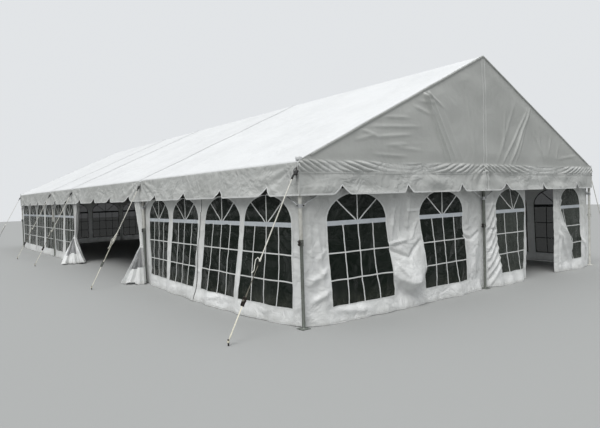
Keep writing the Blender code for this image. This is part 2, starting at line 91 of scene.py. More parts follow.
RAIL_Z, CROWN_Z = centre_of("left_eave_rail").z, centre_of("ridge_pole").z
PITCH = math.atan2(CROWN_Z - RAIL_Z, HALF)
roof_low, roof_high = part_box("roof_section_1")
SKIN = -roof_low.x - HALF                   # from a leg line out to the roof cloth's face
VALANCE_BOTTOM = roof_low.z
VALANCE = RAIL_Z - VALANCE_BOTTOM           # from the eave tube's centre down
END = -roof_low.y                           # the gable cloth's face, from the middle
SIDE_FACE = -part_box("left_wall_near")[0].x  # outer faces of the hung walls
GABLE_FACE = -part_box("front_wall")[0].y
WALL_FOOT, WALL_TOP = (corner.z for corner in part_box("front_wall"))
print("leg lines at", [round(y, 3) for y in LEG_LINES], "rail at", round(RAIL_Z, 4))

# %% [markdown]
# The camera stands in front of the near corner at eye height and leans a little, as a
# hand-held one does. Its axes are worked out as three vectors, because a yaw, a tilt and
# a roll are easier to read than a matrix. The lens is the focal length in pixels of a
# frame 600 pixels wide, turned into millimetres on a 36 mm sensor.

# %% Camera
CAMERA_PLACE = Vector((-9.1616, -16.6348, 1.8992))
YAW, TILT, ROLL = (math.radians(angle) for angle in (37.524, -1.741, -1.730))
FOCAL_PIXELS, FRAME_WIDTH, SENSOR = 522.14, 600, 36.0

ahead = Vector((math.sin(YAW) * math.cos(TILT), math.cos(YAW) * math.cos(TILT), math.sin(TILT)))
level = Vector((math.cos(YAW), -math.sin(YAW), 0))
above = level.cross(ahead)
right = level * math.cos(ROLL) + above * math.sin(ROLL)
upward = above * math.cos(ROLL) - level * math.sin(ROLL)
lens = bpy.data.cameras.new("eye")
lens.sensor_fit = "HORIZONTAL"
lens.sensor_width = SENSOR
lens.lens = FOCAL_PIXELS / FRAME_WIDTH * SENSOR
lens.clip_end = 200
eye = bpy.data.objects.new("eye", lens)
bpy.context.scene.collection.objects.link(eye)
eye.matrix_world = Matrix.Translation(CAMERA_PLACE) @ Matrix(
    (right, upward, -ahead)).transposed().to_4x4()
bpy.context.scene.camera = eye
bpy.context.scene.view_settings.view_transform = "Standard"
print("lens", round(lens.lens, 2), "mm")

# %% [markdown]
# The sky, the finishes and the Geometry Nodes trees are all built from nodes, so a few
# short helpers come first: one adds a socket to a group, one adds a node with its inputs,
# one gives that node's output, and the rest wrap the nodes that are used most.

# %% Node helpers


def socket(group, name, kind, into="INPUT", value=None):
    made = group.interface.new_socket(name, in_out=into, socket_type=f"NodeSocket{kind}")
    if value is not None:
        made.default_value = value


def add(tree, kind, inputs=None, **settings):
    """A node with its settings, its inputs given as values or as other nodes' sockets."""
    node = tree.nodes.new(kind)
    for key, value in settings.items():
        setattr(node, key, value)
    for key, value in (inputs or {}).items():
        if isinstance(value, bpy.types.NodeSocket):
            tree.links.new(value, node.inputs[key])
        else:
            node.inputs[key].default_value = value
    return node


def put(tree, kind, inputs=None, output=0, **settings):
    return add(tree, kind, inputs, **settings).outputs[output]


def ramp(tree, value, low, high, to_low=0.0, to_high=1.0):
    return put(tree, "ShaderNodeMapRange", {"Value": value, "From Min": low, "From Max": high,
                                            "To Min": to_low, "To Max": to_high})


def mixed(tree, share, first, second):
    return put(tree, "ShaderNodeMix", {"Factor": share, 6: first, 7: second}, 2, data_type="RGBA")


def maths(tree, operation, first, second):
    return put(tree, "ShaderNodeMath", {0: first, 1: second}, operation=operation)


def noise(tree, place, scale, detail, **more):
    inputs = {"Vector": place, "Scale": scale, "Detail": detail}
    return put(tree, "ShaderNodeTexNoise",
               inputs | {word.title(): amount for word, amount in more.items()})


def stretched(tree, place, scale):
    return put(tree, "ShaderNodeMapping", {"Vector": place, "Scale": scale})


def bump(tree, height, distance, strength=1.0, **under):
    inputs = {"Height": height, "Distance": distance, "Strength": strength}
    return put(tree, "ShaderNodeBump", inputs | {key.title(): way for key, way in under.items()})


# %% [markdown]
# The light is a pale overcast sky that brightens steeply towards the zenith, and a wide
# sun from high on the left. So the roof is the brightest cloth, hanging cloth is much
# greyer, and every fold has a soft shadow. The camera itself sees a plain even sky.

# %% Sky and sun
HORIZON_LIGHT, ZENITH_LIGHT, SKY_SEEN = 0.055, 1.73, 0.80
SUN_STRENGTH, SUN_WIDTH, SUN_TURN = 1.73, 30, (17, -27, 0)


def sky():
    world = bpy.data.worlds.new("overcast")
    bpy.context.scene.world = world
    world.use_nodes = True
    tree = world.node_tree
    way = put(tree, "ShaderNodeTexCoord", output="Generated")
    height = ramp(tree, put(tree, "ShaderNodeSeparateXYZ", {0: way}, "Z"), 0.0, 1.0)
    light = ramp(tree, maths(tree, "POWER", height, 2.0), 0.0, 1.0, HORIZON_LIGHT, ZENITH_LIGHT)
    seen = put(tree, "ShaderNodeLightPath", output="Is Camera Ray")
    strength = put(tree, "ShaderNodeMix", {"Factor": seen, "A": light, "B": SKY_SEEN}, "Result")
    backdrop = tree.nodes["Background"].inputs
    backdrop["Color"].default_value = (0.95, 0.975, 1.0, 1)
    tree.links.new(strength, backdrop["Strength"])


def sun():
    lamp = bpy.data.lights.new("soft_sun", "SUN")
    lamp.energy, lamp.angle, lamp.color = SUN_STRENGTH, math.radians(SUN_WIDTH), (1.0, 0.99, 0.97)
    holder = bpy.data.objects.new("soft_sun", lamp)
    holder.rotation_euler = [math.radians(angle) for angle in SUN_TURN]
    bpy.context.scene.collection.objects.link(holder)


sky()
sun()
print("zenith to horizon", round(ZENITH_LIGHT / HORIZON_LIGHT), "to 1")

# %% [markdown]
# ## Finishes
# One effect serves every cloth: a fine weave, soft wrinkles, slow changes of tone, the
# grime that rain splashes up from the ground, and painted shade towards the top where a
# finish asks for it. It is a node group with named inputs, so each cloth sets its own
# amounts. The weave follows the cloth's own UV map, which is its flat cut in metres, and
# the rest follows the object's space.

# %% The cloth effect
MUD, DUST = (0.20, 0.19, 0.11), (0.30, 0.30, 0.24)
WEAVE_SCALE = 160.0


def new_effect(name, inputs):
    """A node group with its named inputs, and the three outputs that a finish reads."""
    group = bpy.data.node_groups.new(name, "ShaderNodeTree")
    for label, value in inputs.items():
        if isinstance(value, tuple):
            socket(group, label, "Color", value=(*value, 1))
        else:
            socket(group, label, "Float", value=value)
    for label, kind in (("Color", "Color"), ("Roughness", "Float"), ("Normal", "Vector")):
        socket(group, label, kind, "OUTPUT")
    return group, group.nodes.new("NodeGroupInput").outputs


def close_effect(group, color, roughness, normal):
    add(group, "NodeGroupOutput", {"Color": color, "Roughness": roughness, "Normal": normal})
    return group


def cloth_effect():
    group, given = new_effect("cloth_effect", {
        "Color": (0.8, 0.8, 0.8), "Shade": (0.6, 0.6, 0.6), "Grime": MUD, "Grime Height": 0.2,
        "Grime Amount": 0.4, "Wrinkle Size": 3.0, "Wrinkle Depth": 0.02, "Crinkle Depth": 0.0,
        "Upper Shade": 0.0, "Weave Depth": 0.0004, "Gloss": 0.45})
    space = add(group, "ShaderNodeTexCoord").outputs
    place, size = space["Object"], given["Wrinkle Size"]
    height = put(group, "ShaderNodeSeparateXYZ", {0: place}, "Z")

    # Slow changes of tone, streaks down the cloth, and painted shade that darkens the upper part where
    # a finish asks for it
    tone = noise(group, place, 0.9, 5.0, roughness=0.6)
    streak = noise(group, stretched(group, place, (7, 7, 0.7)), 1.0, 3.0)
    shade = maths(group, "MULTIPLY", ramp(group, tone, 0.42, 0.72), 0.7)
    shade = maths(group, "ADD", shade, ramp(group, streak, 0.52, 0.80, 0.0, 0.45))
    upper = maths(group, "MULTIPLY", ramp(group, height, 0.7, 1.9), given["Upper Shade"])
    clean = mixed(group, maths(group, "ADD", shade, upper), given["Color"], given["Shade"])

    # Splashed grime in patches, thinning out upwards
    patch = noise(group, place, 6.5, 6.0, roughness=0.7)
    low = ramp(group, height, 0.0, given["Grime Height"], 1.0, 0.0)
    splash = maths(group, "MULTIPLY", low, ramp(group, patch, 0.38, 0.62))
    splash = maths(group, "MULTIPLY", splash, given["Grime Amount"])
    rough = maths(group, "ADD", given["Gloss"], ramp(group, patch, 0.3, 0.7, -0.06, 0.1))

    # Soft wrinkles, sharp level creases over them, and the weave on top
    wrinkle = noise(group, place, size, 3.5, roughness=0.55, distortion=0.8)
    soft = bump(group, wrinkle, given["Wrinkle Depth"])
    buckle = noise(group, stretched(group, place, (1, 1, 2.4)), size, 1.0, distortion=0.8)
    fold_line = maths(group, "ABSOLUTE", ramp(group, buckle, 0.3, 0.7, -1.0, 1.0), 0.0)
    sharp = bump(group, maths(group, "POWER", fold_line, 0.6), given["Crinkle Depth"], normal=soft)
    threads = [put(group, "ShaderNodeTexWave", {"Vector": space["UV"], "Scale": WEAVE_SCALE}, "Fac",
                   bands_direction=direction) for direction in "XY"]
    weave = bump(group, maths(group, "MULTIPLY", *threads), given["Weave Depth"], 0.5, normal=sharp)
    return close_effect(group, mixed(group, splash, clean, given["Grime"]), rough, weave)


CLOTH = cloth_effect()
print("cloth effect:", len(CLOTH.nodes), "nodes")

# %% [markdown]
# Metal goes dull in blotches and is scratched along its height, where parts slide on each
# other. A second group does both, so the tubes, the legs and the ratchets share it.

# %% The metal effect


def metal_effect():
    group, given = new_effect("metal_effect", {"Color": (0.7, 0.7, 0.7), "Tarnish": (0.3, 0.3, 0.3),
                                               "Tarnish Amount": 0.5, "Gloss": 0.35})
    place = put(group, "ShaderNodeTexCoord", output="Object")
    blotch = noise(group, place, 11.0, 6.0, roughness=0.65)
    scratch = noise(group, stretched(group, place, (160, 160, 6)), 1.0, 2.0)
    dull = maths(group, "MULTIPLY", ramp(group, blotch, 0.42, 0.66), given["Tarnish Amount"])
    rough = maths(group, "ADD", given["Gloss"], ramp(group, blotch, 0.3, 0.7, -0.05, 0.22))
    return close_effect(group, mixed(group, dull, given["Color"], given["Tarnish"]), rough,
                        bump(group, scratch, 0.0006, 0.25))


METAL = metal_effect()
print("metal effect:", len(METAL.nodes), "nodes")

# %% [markdown]
# Each finish is a Principled shader fed by one of the two effects. Coated cloth has a
# soft sheen. The roof and the walls are the whitest. The valance below the eaves is the
# roof's own cloth in a darker grey, and the gable's is darker still: painted shade on
# hanging cloth. Thin wall cloth, tape and frosted bands also let some light soak through.
# The clear windows are tinted nearly opaque dark, painted shade of the tent's dark inside.

# %% A finish from an effect


def finish(name, effect, main, second, glow=0.0, shader=None, **amounts):
    """A material with its two colours, its amounts of the effect, and the shader's own values.

    glow is the share of light that soaks through the cloth.
    """
    made = bpy.data.materials.new(name)
    made.use_nodes = True
    tree = made.node_tree
    principled = tree.nodes["Principled BSDF"]
    surface = add(tree, "ShaderNodeGroup", node_tree=effect)
    for key, color in ((0, main), (1, second)):
        surface.inputs[key].default_value = (*color, 1)
    for word, value in amounts.items():
        surface.inputs[word.replace("_", " ").title()].default_value = value
    for key, into in (("Color", "Base Color"), ("Roughness", "Roughness"), ("Normal", "Normal")):
        tree.links.new(surface.outputs[key], principled.inputs[into])
    for key, value in (shader or {}).items():
        principled.inputs[key].default_value = value
    if glow:
        through = put(tree, "ShaderNodeBsdfTranslucent", {
            key: surface.outputs[key] for key in ("Color", "Normal")})
        both = put(tree, "ShaderNodeMixShader", {0: glow, 1: principled.outputs[0], 2: through})
        tree.links.new(both, tree.nodes["Material Output"].inputs["Surface"])
    return made


# %% White and grey cloth
ROOF = finish("roof_cloth_white", CLOTH, (0.75, 0.76, 0.765), (0.67, 0.68, 0.685),
              grime_height=0.1, wrinkle_size=2.2, wrinkle_depth=0.03)
# The valance and the gable are darker greys of painted shade for hanging cloth
SHADED_VALANCE = finish("valance_cloth_grey", CLOTH, (0.575, 0.585, 0.57), (0.48, 0.49, 0.47),
                       grime_height=0.1, wrinkle_size=2.4, wrinkle_depth=0.08,
                       crinkle_depth=0.003)
SHADED_GABLE = finish("gable_cloth_grey", CLOTH, (0.54, 0.55, 0.53), (0.48, 0.49, 0.47),
               grime_height=0.1, wrinkle_size=2.0, wrinkle_depth=0.015)
# The wall darkens towards its top: painted shade under the valance
WALL = finish("wall_cloth_white", CLOTH, (0.93, 0.94, 0.935), (0.70, 0.71, 0.695), glow=0.12,
              upper_shade=0.9, grime_height=0.10, grime_amount=0.25, wrinkle_size=3.2,
              wrinkle_depth=0.05, crinkle_depth=0.002)
TAPE = finish("white_tape", CLOTH, (0.86, 0.87, 0.86), (0.74, 0.75, 0.74), glow=0.10,
              grime_height=0.06, grime_amount=0.2, wrinkle_depth=0.002)
# A near-black band that paints shadow: at the walls' tops under the valance, and beside each lap
PAINTED_SHADOW = finish("grey_header", CLOTH, (0.07, 0.07, 0.065), (0.045, 0.045, 0.04),
                shader={"IOR": 1.15}, wrinkle_depth=0.002, gloss=0.9)
BAND = finish("frosted_band", CLOTH, (0.72, 0.76, 0.80), (0.60, 0.64, 0.68), glow=0.22,
              grime_height=0.1, wrinkle_depth=0.004, gloss=0.25)
print("cloths:", ROOF.name, SHADED_VALANCE.name, SHADED_GABLE.name, WALL.name)

# %% Clear windows
# The clear vinyl is tinted nearly opaque dark, painted shade of the tent's dark inside; the second tint
# is a lighter copy with less painted shade
CLEAR = finish("smoky_window", CLOTH, (0.008, 0.012, 0.009), (0.024, 0.030, 0.025),
               shader={"Alpha": 0.93, "IOR": 1.28}, grime=(*DUST, 1), grime_height=0.5,
               grime_amount=0.25, wrinkle_size=2.6, wrinkle_depth=0.05, weave_depth=0.0,
               gloss=0.12)
LIGHTER_CLEAR = finish("hazy_window", CLOTH, (0.045, 0.052, 0.045), (0.095, 0.105, 0.095),
                    shader={"Alpha": 0.90, "IOR": 1.18}, grime=(*DUST, 1), grime_height=0.5,
                    grime_amount=0.25, wrinkle_size=5.0, wrinkle_depth=0.06, weave_depth=0.0,
                    gloss=0.14)
CREASED_CLEAR = finish("creased_window", CLOTH, (0.34, 0.345, 0.35), (0.66, 0.66, 0.67),
                       shader={"Alpha": 0.85, "IOR": 1.5}, wrinkle_size=12.0,
                       wrinkle_depth=0.03, crinkle_depth=0.02, weave_depth=0.0, gloss=0.12)
print("clear sheets:", CLEAR.name, LIGHTER_CLEAR.name, CREASED_CLEAR.name)

# %% Ropes and straps
ROPE = finish("cream_rope", CLOTH, (0.86, 0.85, 0.79), (0.68, 0.66, 0.58), wrinkle_size=40.0,
              wrinkle_depth=0.001, gloss=0.75)
STRAP_WEAVE = {"wrinkle_size": 30.0, "wrinkle_depth": 0.001, "weave_depth": 0.0012}
WEBBING = finish("cream_webbing", CLOTH, (0.86, 0.83, 0.70), (0.68, 0.64, 0.50), gloss=0.7,
                 **STRAP_WEAVE)
DARK_WEBBING = finish("dark_webbing", CLOTH, (0.20, 0.19, 0.15), (0.12, 0.11, 0.09), gloss=0.7,
                      **STRAP_WEAVE)
BLACK_STRAP = finish("black_strap", CLOTH, (0.022, 0.022, 0.022), (0.045, 0.045, 0.045),
                     gloss=0.55, **STRAP_WEAVE)
print("straps:", WEBBING.name, DARK_WEBBING.name, BLACK_STRAP.name)

# %% Metal
TUBE = finish("aluminium_tube", METAL, (0.74, 0.75, 0.76), (0.42, 0.43, 0.43),
              shader={"Metallic": 1.0})
UPPER_LEG = finish("painted_leg", METAL, (0.66, 0.66, 0.62), (0.34, 0.32, 0.27),
                   shader={"Metallic": 0.2}, gloss=0.42)
LOWER_LEG = finish("galvanised_leg", METAL, (0.20, 0.215, 0.195), (0.11, 0.115, 0.10),
                   shader={"Metallic": 0.55}, gloss=0.48)
DARK_STEEL = finish("dark_steel", METAL, (0.045, 0.045, 0.045), (0.10, 0.07, 0.05),
                    shader={"Metallic": 0.8}, gloss=0.40)
print("finishes:", len(bpy.data.materials))

# %% [markdown]
# ## Cutting cloth
# A real sheet is cut flat, holes and all, and takes its shape when it hangs. So every sheet
# here starts as a flat outline with holes, filled with triangles by a constrained
# triangulation of its edges and an even grid. A function then hangs each flat point
# in space. The flat places are kept as the UV map, in metres.

# %% Flat cloth
CLOSEST = 0.45                              # how near a grid point may come to an edge, in steps


def refined(loop, step, closed=True):
    """The loop with a point at least every step."""
    points = []
    ends = loop[1:] + loop[:1] if closed else loop[1:]
    for (ua, va), (ub, vb) in zip(loop, ends):
        count = max(1, math.ceil(math.hypot(ub - ua, vb - va) / step))
        points += [(ua + (ub - ua) * part / count, va + (vb - va) * part / count)
                   for part in range(count)]
    return points if closed else points + [loop[-1]]


def on_cloth(points, loops):
    """Which points lie within the outline, the first loop, and in none of the holes."""
    u, v = points.T
    hit = np.zeros(len(points), bool)
    for loop in loops:
        for (ua, va), (ub, vb) in zip(loop, loop[1:] + loop[:1]):
            if va != vb:
                hit ^= ((va > v) != (vb > v)) & (u < (ub - ua) * (v - va) / (vb - va) + ua)
    return hit


def cut_cloth(outline, holes, step, columns, rows):
    """Flat points and triangles of a sheet, with a grid point at each column and row."""
    loops = [refined(loop, step) for loop in (outline, *holes)]
    border = [point for loop in loops for point in loop]
    seams = []
    for loop in loops:
        first = len(seams)
        seams += [(first + index, first + (index + 1) % len(loop)) for index in range(len(loop))]
    near = KDTree(len(border))
    for index, (u, v) in enumerate(border):
        near.insert((u, v, 0), index)
    near.balance()
    grid = np.stack(np.meshgrid(columns, rows, indexing="ij"), axis=-1).reshape(-1, 2)
    free = [(u, v) for u, v in grid[on_cloth(grid, loops)].tolist()
            if near.find((u, v, 0))[2] > step * CLOSEST]
    made = delaunay_2d_cdt([Vector(point) for point in border + free], seams, [], 0, 1e-6)
    points, faces = np.array([tuple(point) for point in made[0]]), np.array(made[2])
    return points, faces[on_cloth(points[faces].mean(axis=1), loops)]


def spaced(start, end, step):
    return np.linspace(start, end, max(2, round((end - start) / step) + 1))


square, tenths = [(0, 0), (1, 0), (1, 1), (0, 1)], spaced(0, 1, 0.1)
print("a square metre in steps of 0.1:", len(cut_cloth(square, [], 0.1, tenths, tenths)[1]),
      "triangles")

# %% [markdown]
# Hanging cloth moves in three ways here. It steps smoothly from one state to another, it
# ripples in soft waves of about one size, and it folds along lines that fade at both
# ends. One function makes each, and every sheet adds them up in its own amounts.

# %% How cloth moves


def blended(value, low, high):
    """A smooth step from 0 at low to 1 at high."""
    share = np.clip((value - low) / (high - low), 0, 1)
    return share * share * (3 - 2 * share)


def ripple(u, v, size, seed, waves=8):
    """Smooth random waves of about one size, mostly between -1 and 1."""
    chance = np.random.RandomState(seed)
    total = np.zeros(np.shape(u))
    for _ in range(waves):
        angle, length = chance.uniform(0, math.pi), size * chance.uniform(0.65, 1.7)
        phase = chance.uniform(0, 2 * math.pi)
        total += np.sin((u * math.cos(angle) + v * math.sin(angle)) * 2 * math.pi / length + phase)
    return total / math.sqrt(waves)


def fold(u, v, ua, va, ub, vb, width, height):
    """A rounded fold from one flat place to another, which fades at both ends."""
    length = math.hypot(ub - ua, vb - va)
    du, dv = (ub - ua) / length, (vb - va) / length
    along = (u - ua) * du + (v - va) * dv
    aside = (v - va) * du - (u - ua) * dv
    fade = blended(along, -0.15 * length, 0.3 * length)
    fade = fade * (1 - blended(along, 0.7 * length, 1.15 * length))
    return height * np.exp(-(aside / width) ** 2) * fade


beside = fold(0.5, 0.02, 0, 0, 1, 0, 0.03, 0.02)
print("a fold 20 mm high, 20 mm beside its middle line:", round(1000 * beside, 1), "mm")

# %% Pieces of the tent


def linked(name, mesh):
    piece = bpy.data.objects.new(name, mesh)
    bpy.context.scene.collection.objects.link(piece)
    return piece


def smoothed(mesh, crisp):
    """Shade round, with edges sharper than crisp degrees left crisp."""
    mesh.shade_smooth()
    if crisp is not None:
        mesh.set_sharp_from_angle(angle=math.radians(crisp))
    return mesh


def mesh_piece(name, points, faces, finishes, flat=None, which=None, crisp=None):
    """An object from points and faces. flat is the UV map, and which picks finishes."""
    mesh = bpy.data.meshes.new(name)
    mesh.from_pydata(np.asarray(points, float).tolist(), [],
                     faces.tolist() if isinstance(faces, np.ndarray) else faces)
    for material in finishes:
        mesh.materials.append(material)
    if which is not None:
        mesh.polygons.foreach_set("material_index", np.asarray(which, np.int32))
    if flat is not None:
        corners = np.zeros(len(mesh.loops), np.int32)
        mesh.loops.foreach_get("vertex_index", corners)
        layer = mesh.uv_layers.new(name="cut")
        layer.data.foreach_set("uv", np.asarray(flat, np.float32)[corners].ravel())
    return linked(name, smoothed(mesh, crisp))


def carried(piece, slot, *nodes):
    """Hang a finished piece on the tent, in place of the plain nodes named."""
    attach(piece, "root")
    if nodes:
        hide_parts(*nodes)


def told(piece):
    """Print a sheet's size as it hangs."""
    area = sum(face.area for face in piece.data.polygons)
    print(piece.name, len(piece.data.vertices), "points,", round(area, 2), "square metres")


# %% [markdown]
# ## Tapes and ropes
# Window bars, bindings, hems, seams and flaps are all flat tapes that follow a path on
# the cloth. Sweeping each by hand would be many lines, so one Geometry Nodes tree does it: it
# makes the path a curve, turns its normal to the way that the cloth faces, and
# sweeps a thin rectangle. A second tree lays three strands round a path as a rope.

# %% Geometry Nodes helpers


def new_tree(name, **inputs):
    """A tree with a path and named inputs, its inputs' sockets, and its path as a curve."""
    tree = bpy.data.node_groups.new(name, "GeometryNodeTree")
    socket(tree, "Path", "Geometry")
    for label, kind in (inputs | {"finish": "Material"}).items():
        socket(tree, label.replace("_", " ").title(), kind)
    socket(tree, "Geometry", "Geometry", "OUTPUT")
    given = tree.nodes.new("NodeGroupInput").outputs
    return tree, given, put(tree, "GeometryNodeMeshToCurve", {"Mesh": given["Path"]})


def close_tree(tree, geometry, material):
    """Every tree ends the same way: instances made real, then the finish."""
    real = put(tree, "GeometryNodeRealizeInstances", {0: geometry})
    add(tree, "NodeGroupOutput", {
        0: put(tree, "GeometryNodeSetMaterial", {"Geometry": real, "Material": material})})
    return tree


def swept(tree, curve, section):
    return put(tree, "GeometryNodeCurveToMesh", {"Curve": curve, "Profile Curve": section,
                                                 "Fill Caps": True})


def evenly(tree, curve, step):
    return put(tree, "GeometryNodeResampleCurve", {"Curve": curve, "Length": step}, mode="LENGTH")


def grown(name, tree, source, crisp=35, **inputs):
    """Run a tree on a mesh, and keep the result as a plain mesh object."""
    guide = linked("guide", source)
    step = guide.modifiers.new("grow", "NODES")
    step.node_group = tree
    for item in tree.interface.items_tree:
        label = item.name.replace(" ", "_").lower()
        if item.in_out == "INPUT" and label in inputs:
            step[item.identifier] = inputs[label]
    seen = guide.evaluated_get(bpy.context.evaluated_depsgraph_get())
    mesh = bpy.data.meshes.new_from_object(seen)
    bpy.data.objects.remove(guide)
    return linked(name, smoothed(mesh, crisp))


def path_mesh(paths):
    """Edges along each path. A path is its points, the ways it faces, and if it closes."""
    points, edges, facing = [], [], []
    for places, normals, closed in paths:
        first, count = len(points), len(places)
        points += [tuple(place) for place in places]
        facing += [tuple(normal) for normal in normals]
        edges += [(first + index, first + (index + 1) % count)
                  for index in range(count if closed else count - 1)]
    mesh = bpy.data.meshes.new("paths")
    mesh.from_pydata(points, edges, [])
    layer = mesh.attributes.new("facing", "FLOAT_VECTOR", "POINT")
    layer.data.foreach_set("vector", np.array(facing, np.float32).ravel())
    return mesh


# %% The tape tree and the rope tree


def tape_tree():
    tree, given, curve = new_tree("tape_on_path", width="Float", thickness="Float")
    facing = put(tree, "GeometryNodeInputNamedAttribute", {"Name": "facing"},
                 data_type="FLOAT_VECTOR")
    turned = put(tree, "GeometryNodeSetCurveNormal", {"Curve": curve, "Normal": facing},
                 mode="FREE")
    section = put(tree, "GeometryNodeCurvePrimitiveQuadrilateral",
                  {"Width": given["Thickness"], "Height": given["Width"]})
    return close_tree(tree, swept(tree, turned, section), given["Finish"])


def rope_tree():
    tree, given, curve = new_tree("rope_on_path", strands="Int", radius="Float",
                                  strand_radius="Float", pitch="Float", step="Float")
    copies = add(tree, "GeometryNodeDuplicateElements",
                 {"Geometry": evenly(tree, curve, given["Step"]), "Amount": given["Strands"]},
                 domain="SPLINE").outputs
    run = put(tree, "GeometryNodeSplineParameter", output="Length")
    turns = maths(tree, "ADD", maths(tree, "DIVIDE", run, given["Pitch"]),
                  maths(tree, "DIVIDE", copies["Duplicate Index"], given["Strands"]))
    aside = put(tree, "ShaderNodeVectorRotate",
                {"Vector": put(tree, "GeometryNodeInputNormal"),
                 "Axis": put(tree, "GeometryNodeInputTangent"),
                 "Angle": maths(tree, "MULTIPLY", turns, 2 * math.pi)})
    offset = put(tree, "ShaderNodeVectorMath", {0: aside, "Scale": given["Radius"]},
                 operation="SCALE")
    laid = put(tree, "GeometryNodeSetPosition", {"Geometry": copies["Geometry"],
                                                 "Offset": offset})
    section = put(tree, "GeometryNodeCurvePrimitiveCircle",
                  {"Resolution": 6, "Radius": given["Strand Radius"]})
    return close_tree(tree, swept(tree, laid, section), given["Finish"])


TAPE_TREE, ROPE_TREE = tape_tree(), rope_tree()


def tape(name, slot, paths, width, thickness, material):
    carried(grown(name, TAPE_TREE, path_mesh(paths), width=width, thickness=thickness,
                  finish=material), slot)


def path_on(place, out, points, off, step=0.03, closed=False):
    """A tape's path over flat points of a hung cloth, off its face by a hair."""
    points = refined([(float(u), float(v)) for u, v in points], step, closed)
    facing = np.tile(np.array(out, float), (len(points), 1))
    return place(*np.array(points).T) + facing * off, facing, closed


print("trees:", *(f"{made.name} with {len(made.nodes)} nodes" for made in (TAPE_TREE, ROPE_TREE)))

# %% [markdown]
# ## Roof
# Each roof section is one sheet from valance to valance, over both eaves and the ridge.
# Its profile is unrolled into one length: it hangs down, wraps the eave tube in an arc,
# climbs the slope and wraps the ridge. The flat cut has the valance's notches and the slits
# where the guy lines come out. The sheet then sags a little between the rafters, and
# its valance creases towards the leg lines, where the guy lines pull.

# %% The roof's profile
ARC_STEPS = 7


def wrap(x, z, start, end):
    """Points on the cloth's wrap round a tube, from one angle to another."""
    return [(x + SKIN * math.cos(angle), z + SKIN * math.sin(angle))
            for angle in np.radians(np.linspace(start, end, ARC_STEPS))]


rise, fall = 90 + math.degrees(PITCH), 90 - math.degrees(PITCH)
profile = np.array([(-HALF - SKIN, VALANCE_BOTTOM), *wrap(-HALF, RAIL_Z, 180, rise),
                    *wrap(0, CROWN_Z, rise, fall), *wrap(HALF, RAIL_Z, fall, 0),
                    (HALF + SKIN, VALANCE_BOTTOM)])
profile_run = np.concatenate([[0], np.cumsum(np.hypot(*np.diff(profile, axis=0).T))])
WIDTH_CUT = profile_run[-1]
slopes = np.gradient(profile, axis=0)
profile_out = np.stack([-slopes[:, 1], slopes[:, 0]], axis=1)
profile_out /= np.linalg.norm(profile_out, axis=1)[:, None]
print("roof cloth, valance to valance:", round(WIDTH_CUT, 3), "m")

# %% How the roof cloth hangs
ROOF_SAG, SAG_BAY, VALANCE_FLARE = 0.035, 6.1, 0.035
FAN_HEIGHT, FAN_REACH, FAN_LEAN, FAN_SPREAD = 0.024, 0.9, 0.40, 0.36


def roof_lift(across, along):
    """How far the roof cloth stands off its frame line. across is the unrolled profile."""
    from_eave = np.minimum(across, WIDTH_CUT - across) - VALANCE
    up_slope = np.clip((from_eave - 0.1) / (WIDTH_CUT / 2 - VALANCE - 0.1), 0, 1)
    arch = np.sin(math.pi * up_slope)
    lines = np.array(LEG_LINES)
    bay = np.clip(np.searchsorted(lines, along) - 1, 0, len(lines) - 2)
    length = lines[bay + 1] - lines[bay]
    share = np.clip((along - lines[bay]) / length, 0, 1)
    lift = -ROOF_SAG * (length / SAG_BAY) * np.sin(math.pi * share) * arch ** 0.7
    lift += 0.0035 * ripple(along, across, 1.3, 3) * arch

    # The valance flares and waves below the eave, and is held at the tent's corners
    depth = np.clip(-from_eave, 0, VALANCE)
    drop = depth / VALANCE
    corner = 0.1 + 0.9 * blended(END - np.abs(along), 0.0, 0.7)
    lift += corner * (VALANCE_FLARE * drop ** 1.6 + 0.012 * drop * ripple(along, across, 0.8, 5))
    lift += 0.005 * corner * drop * ripple(along * 0.6, across * 3, 0.35, 11)
    lift += 0.002 * corner * blended(drop, 0.0, 0.2) * ripple(along, across * 1.4, 0.26, 13)

    # Creases fan out from each leg line at the eave
    near = np.abs(along[:, None] - lines[None, :]).min(axis=1)
    reach, angle = np.hypot(near, depth), np.arctan2(depth + 0.02, near + 0.02)
    fade = blended(reach, 0.05, 0.20) * np.exp(-(reach / FAN_REACH) ** 2)
    fade = fade * np.exp(-((angle - FAN_LEAN) / FAN_SPREAD) ** 2) * blended(depth, 0.0, 0.06)
    fan = np.cos(19 * angle + 2.5 * ripple(along, across, 3.0, 8))
    return lift + FAN_HEIGHT * corner * fan * fade


def read_profile(table, across):
    return [np.interp(across, profile_run, table[:, axis]) for axis in (0, 1)]


def roof_path(along, across, off=0.0):
    """Places on the hung roof, off its face, with the ways it faces there, as a path."""
    (x, z), (out_x, out_z) = (read_profile(table, across) for table in (profile, profile_out))
    lift = roof_lift(across, along) + off
    facing = np.stack([out_x, 0 * out_x, out_z], axis=1)
    return np.stack([x + out_x * lift, along, z + out_z * lift], axis=1), facing, False


sag = roof_lift(np.array([WIDTH_CUT / 4 + VALANCE / 2]), np.array([FRONT_LINE + SAG_BAY / 2]))
print("sag in the middle of the first slope:", round(-1000 * sag[0]), "mm")

# %% Cut and hang the four sections
NOTCH_HEIGHT = 0.14
NOTCH_BEFORE = ((1.15, 0), (0.9, 0.06), (0.4, 0.54), (0, 1))
NOTCH_AFTER = ((0.4, 0.52), (0.9, 0.06), (1.15, 0))
SIDE_NOTCHES = ((0.11, 0.24), (0.09, 0.22), (0.10, 0.20), (0.09, 0.21))
SIDE_DRIFT, FAR_GAPE = -0.045, 1.45         # how notches wander, and gape behind the first bay
SLIT_TOP, SLIT_BELLY, SLIT_HALF = 0.425, 0.33, 0.016
ROOF_STEP, EDGE_STEP, VALANCE_STEP, SLOPE_STEP = 0.045, 0.03, 0.028, 0.09


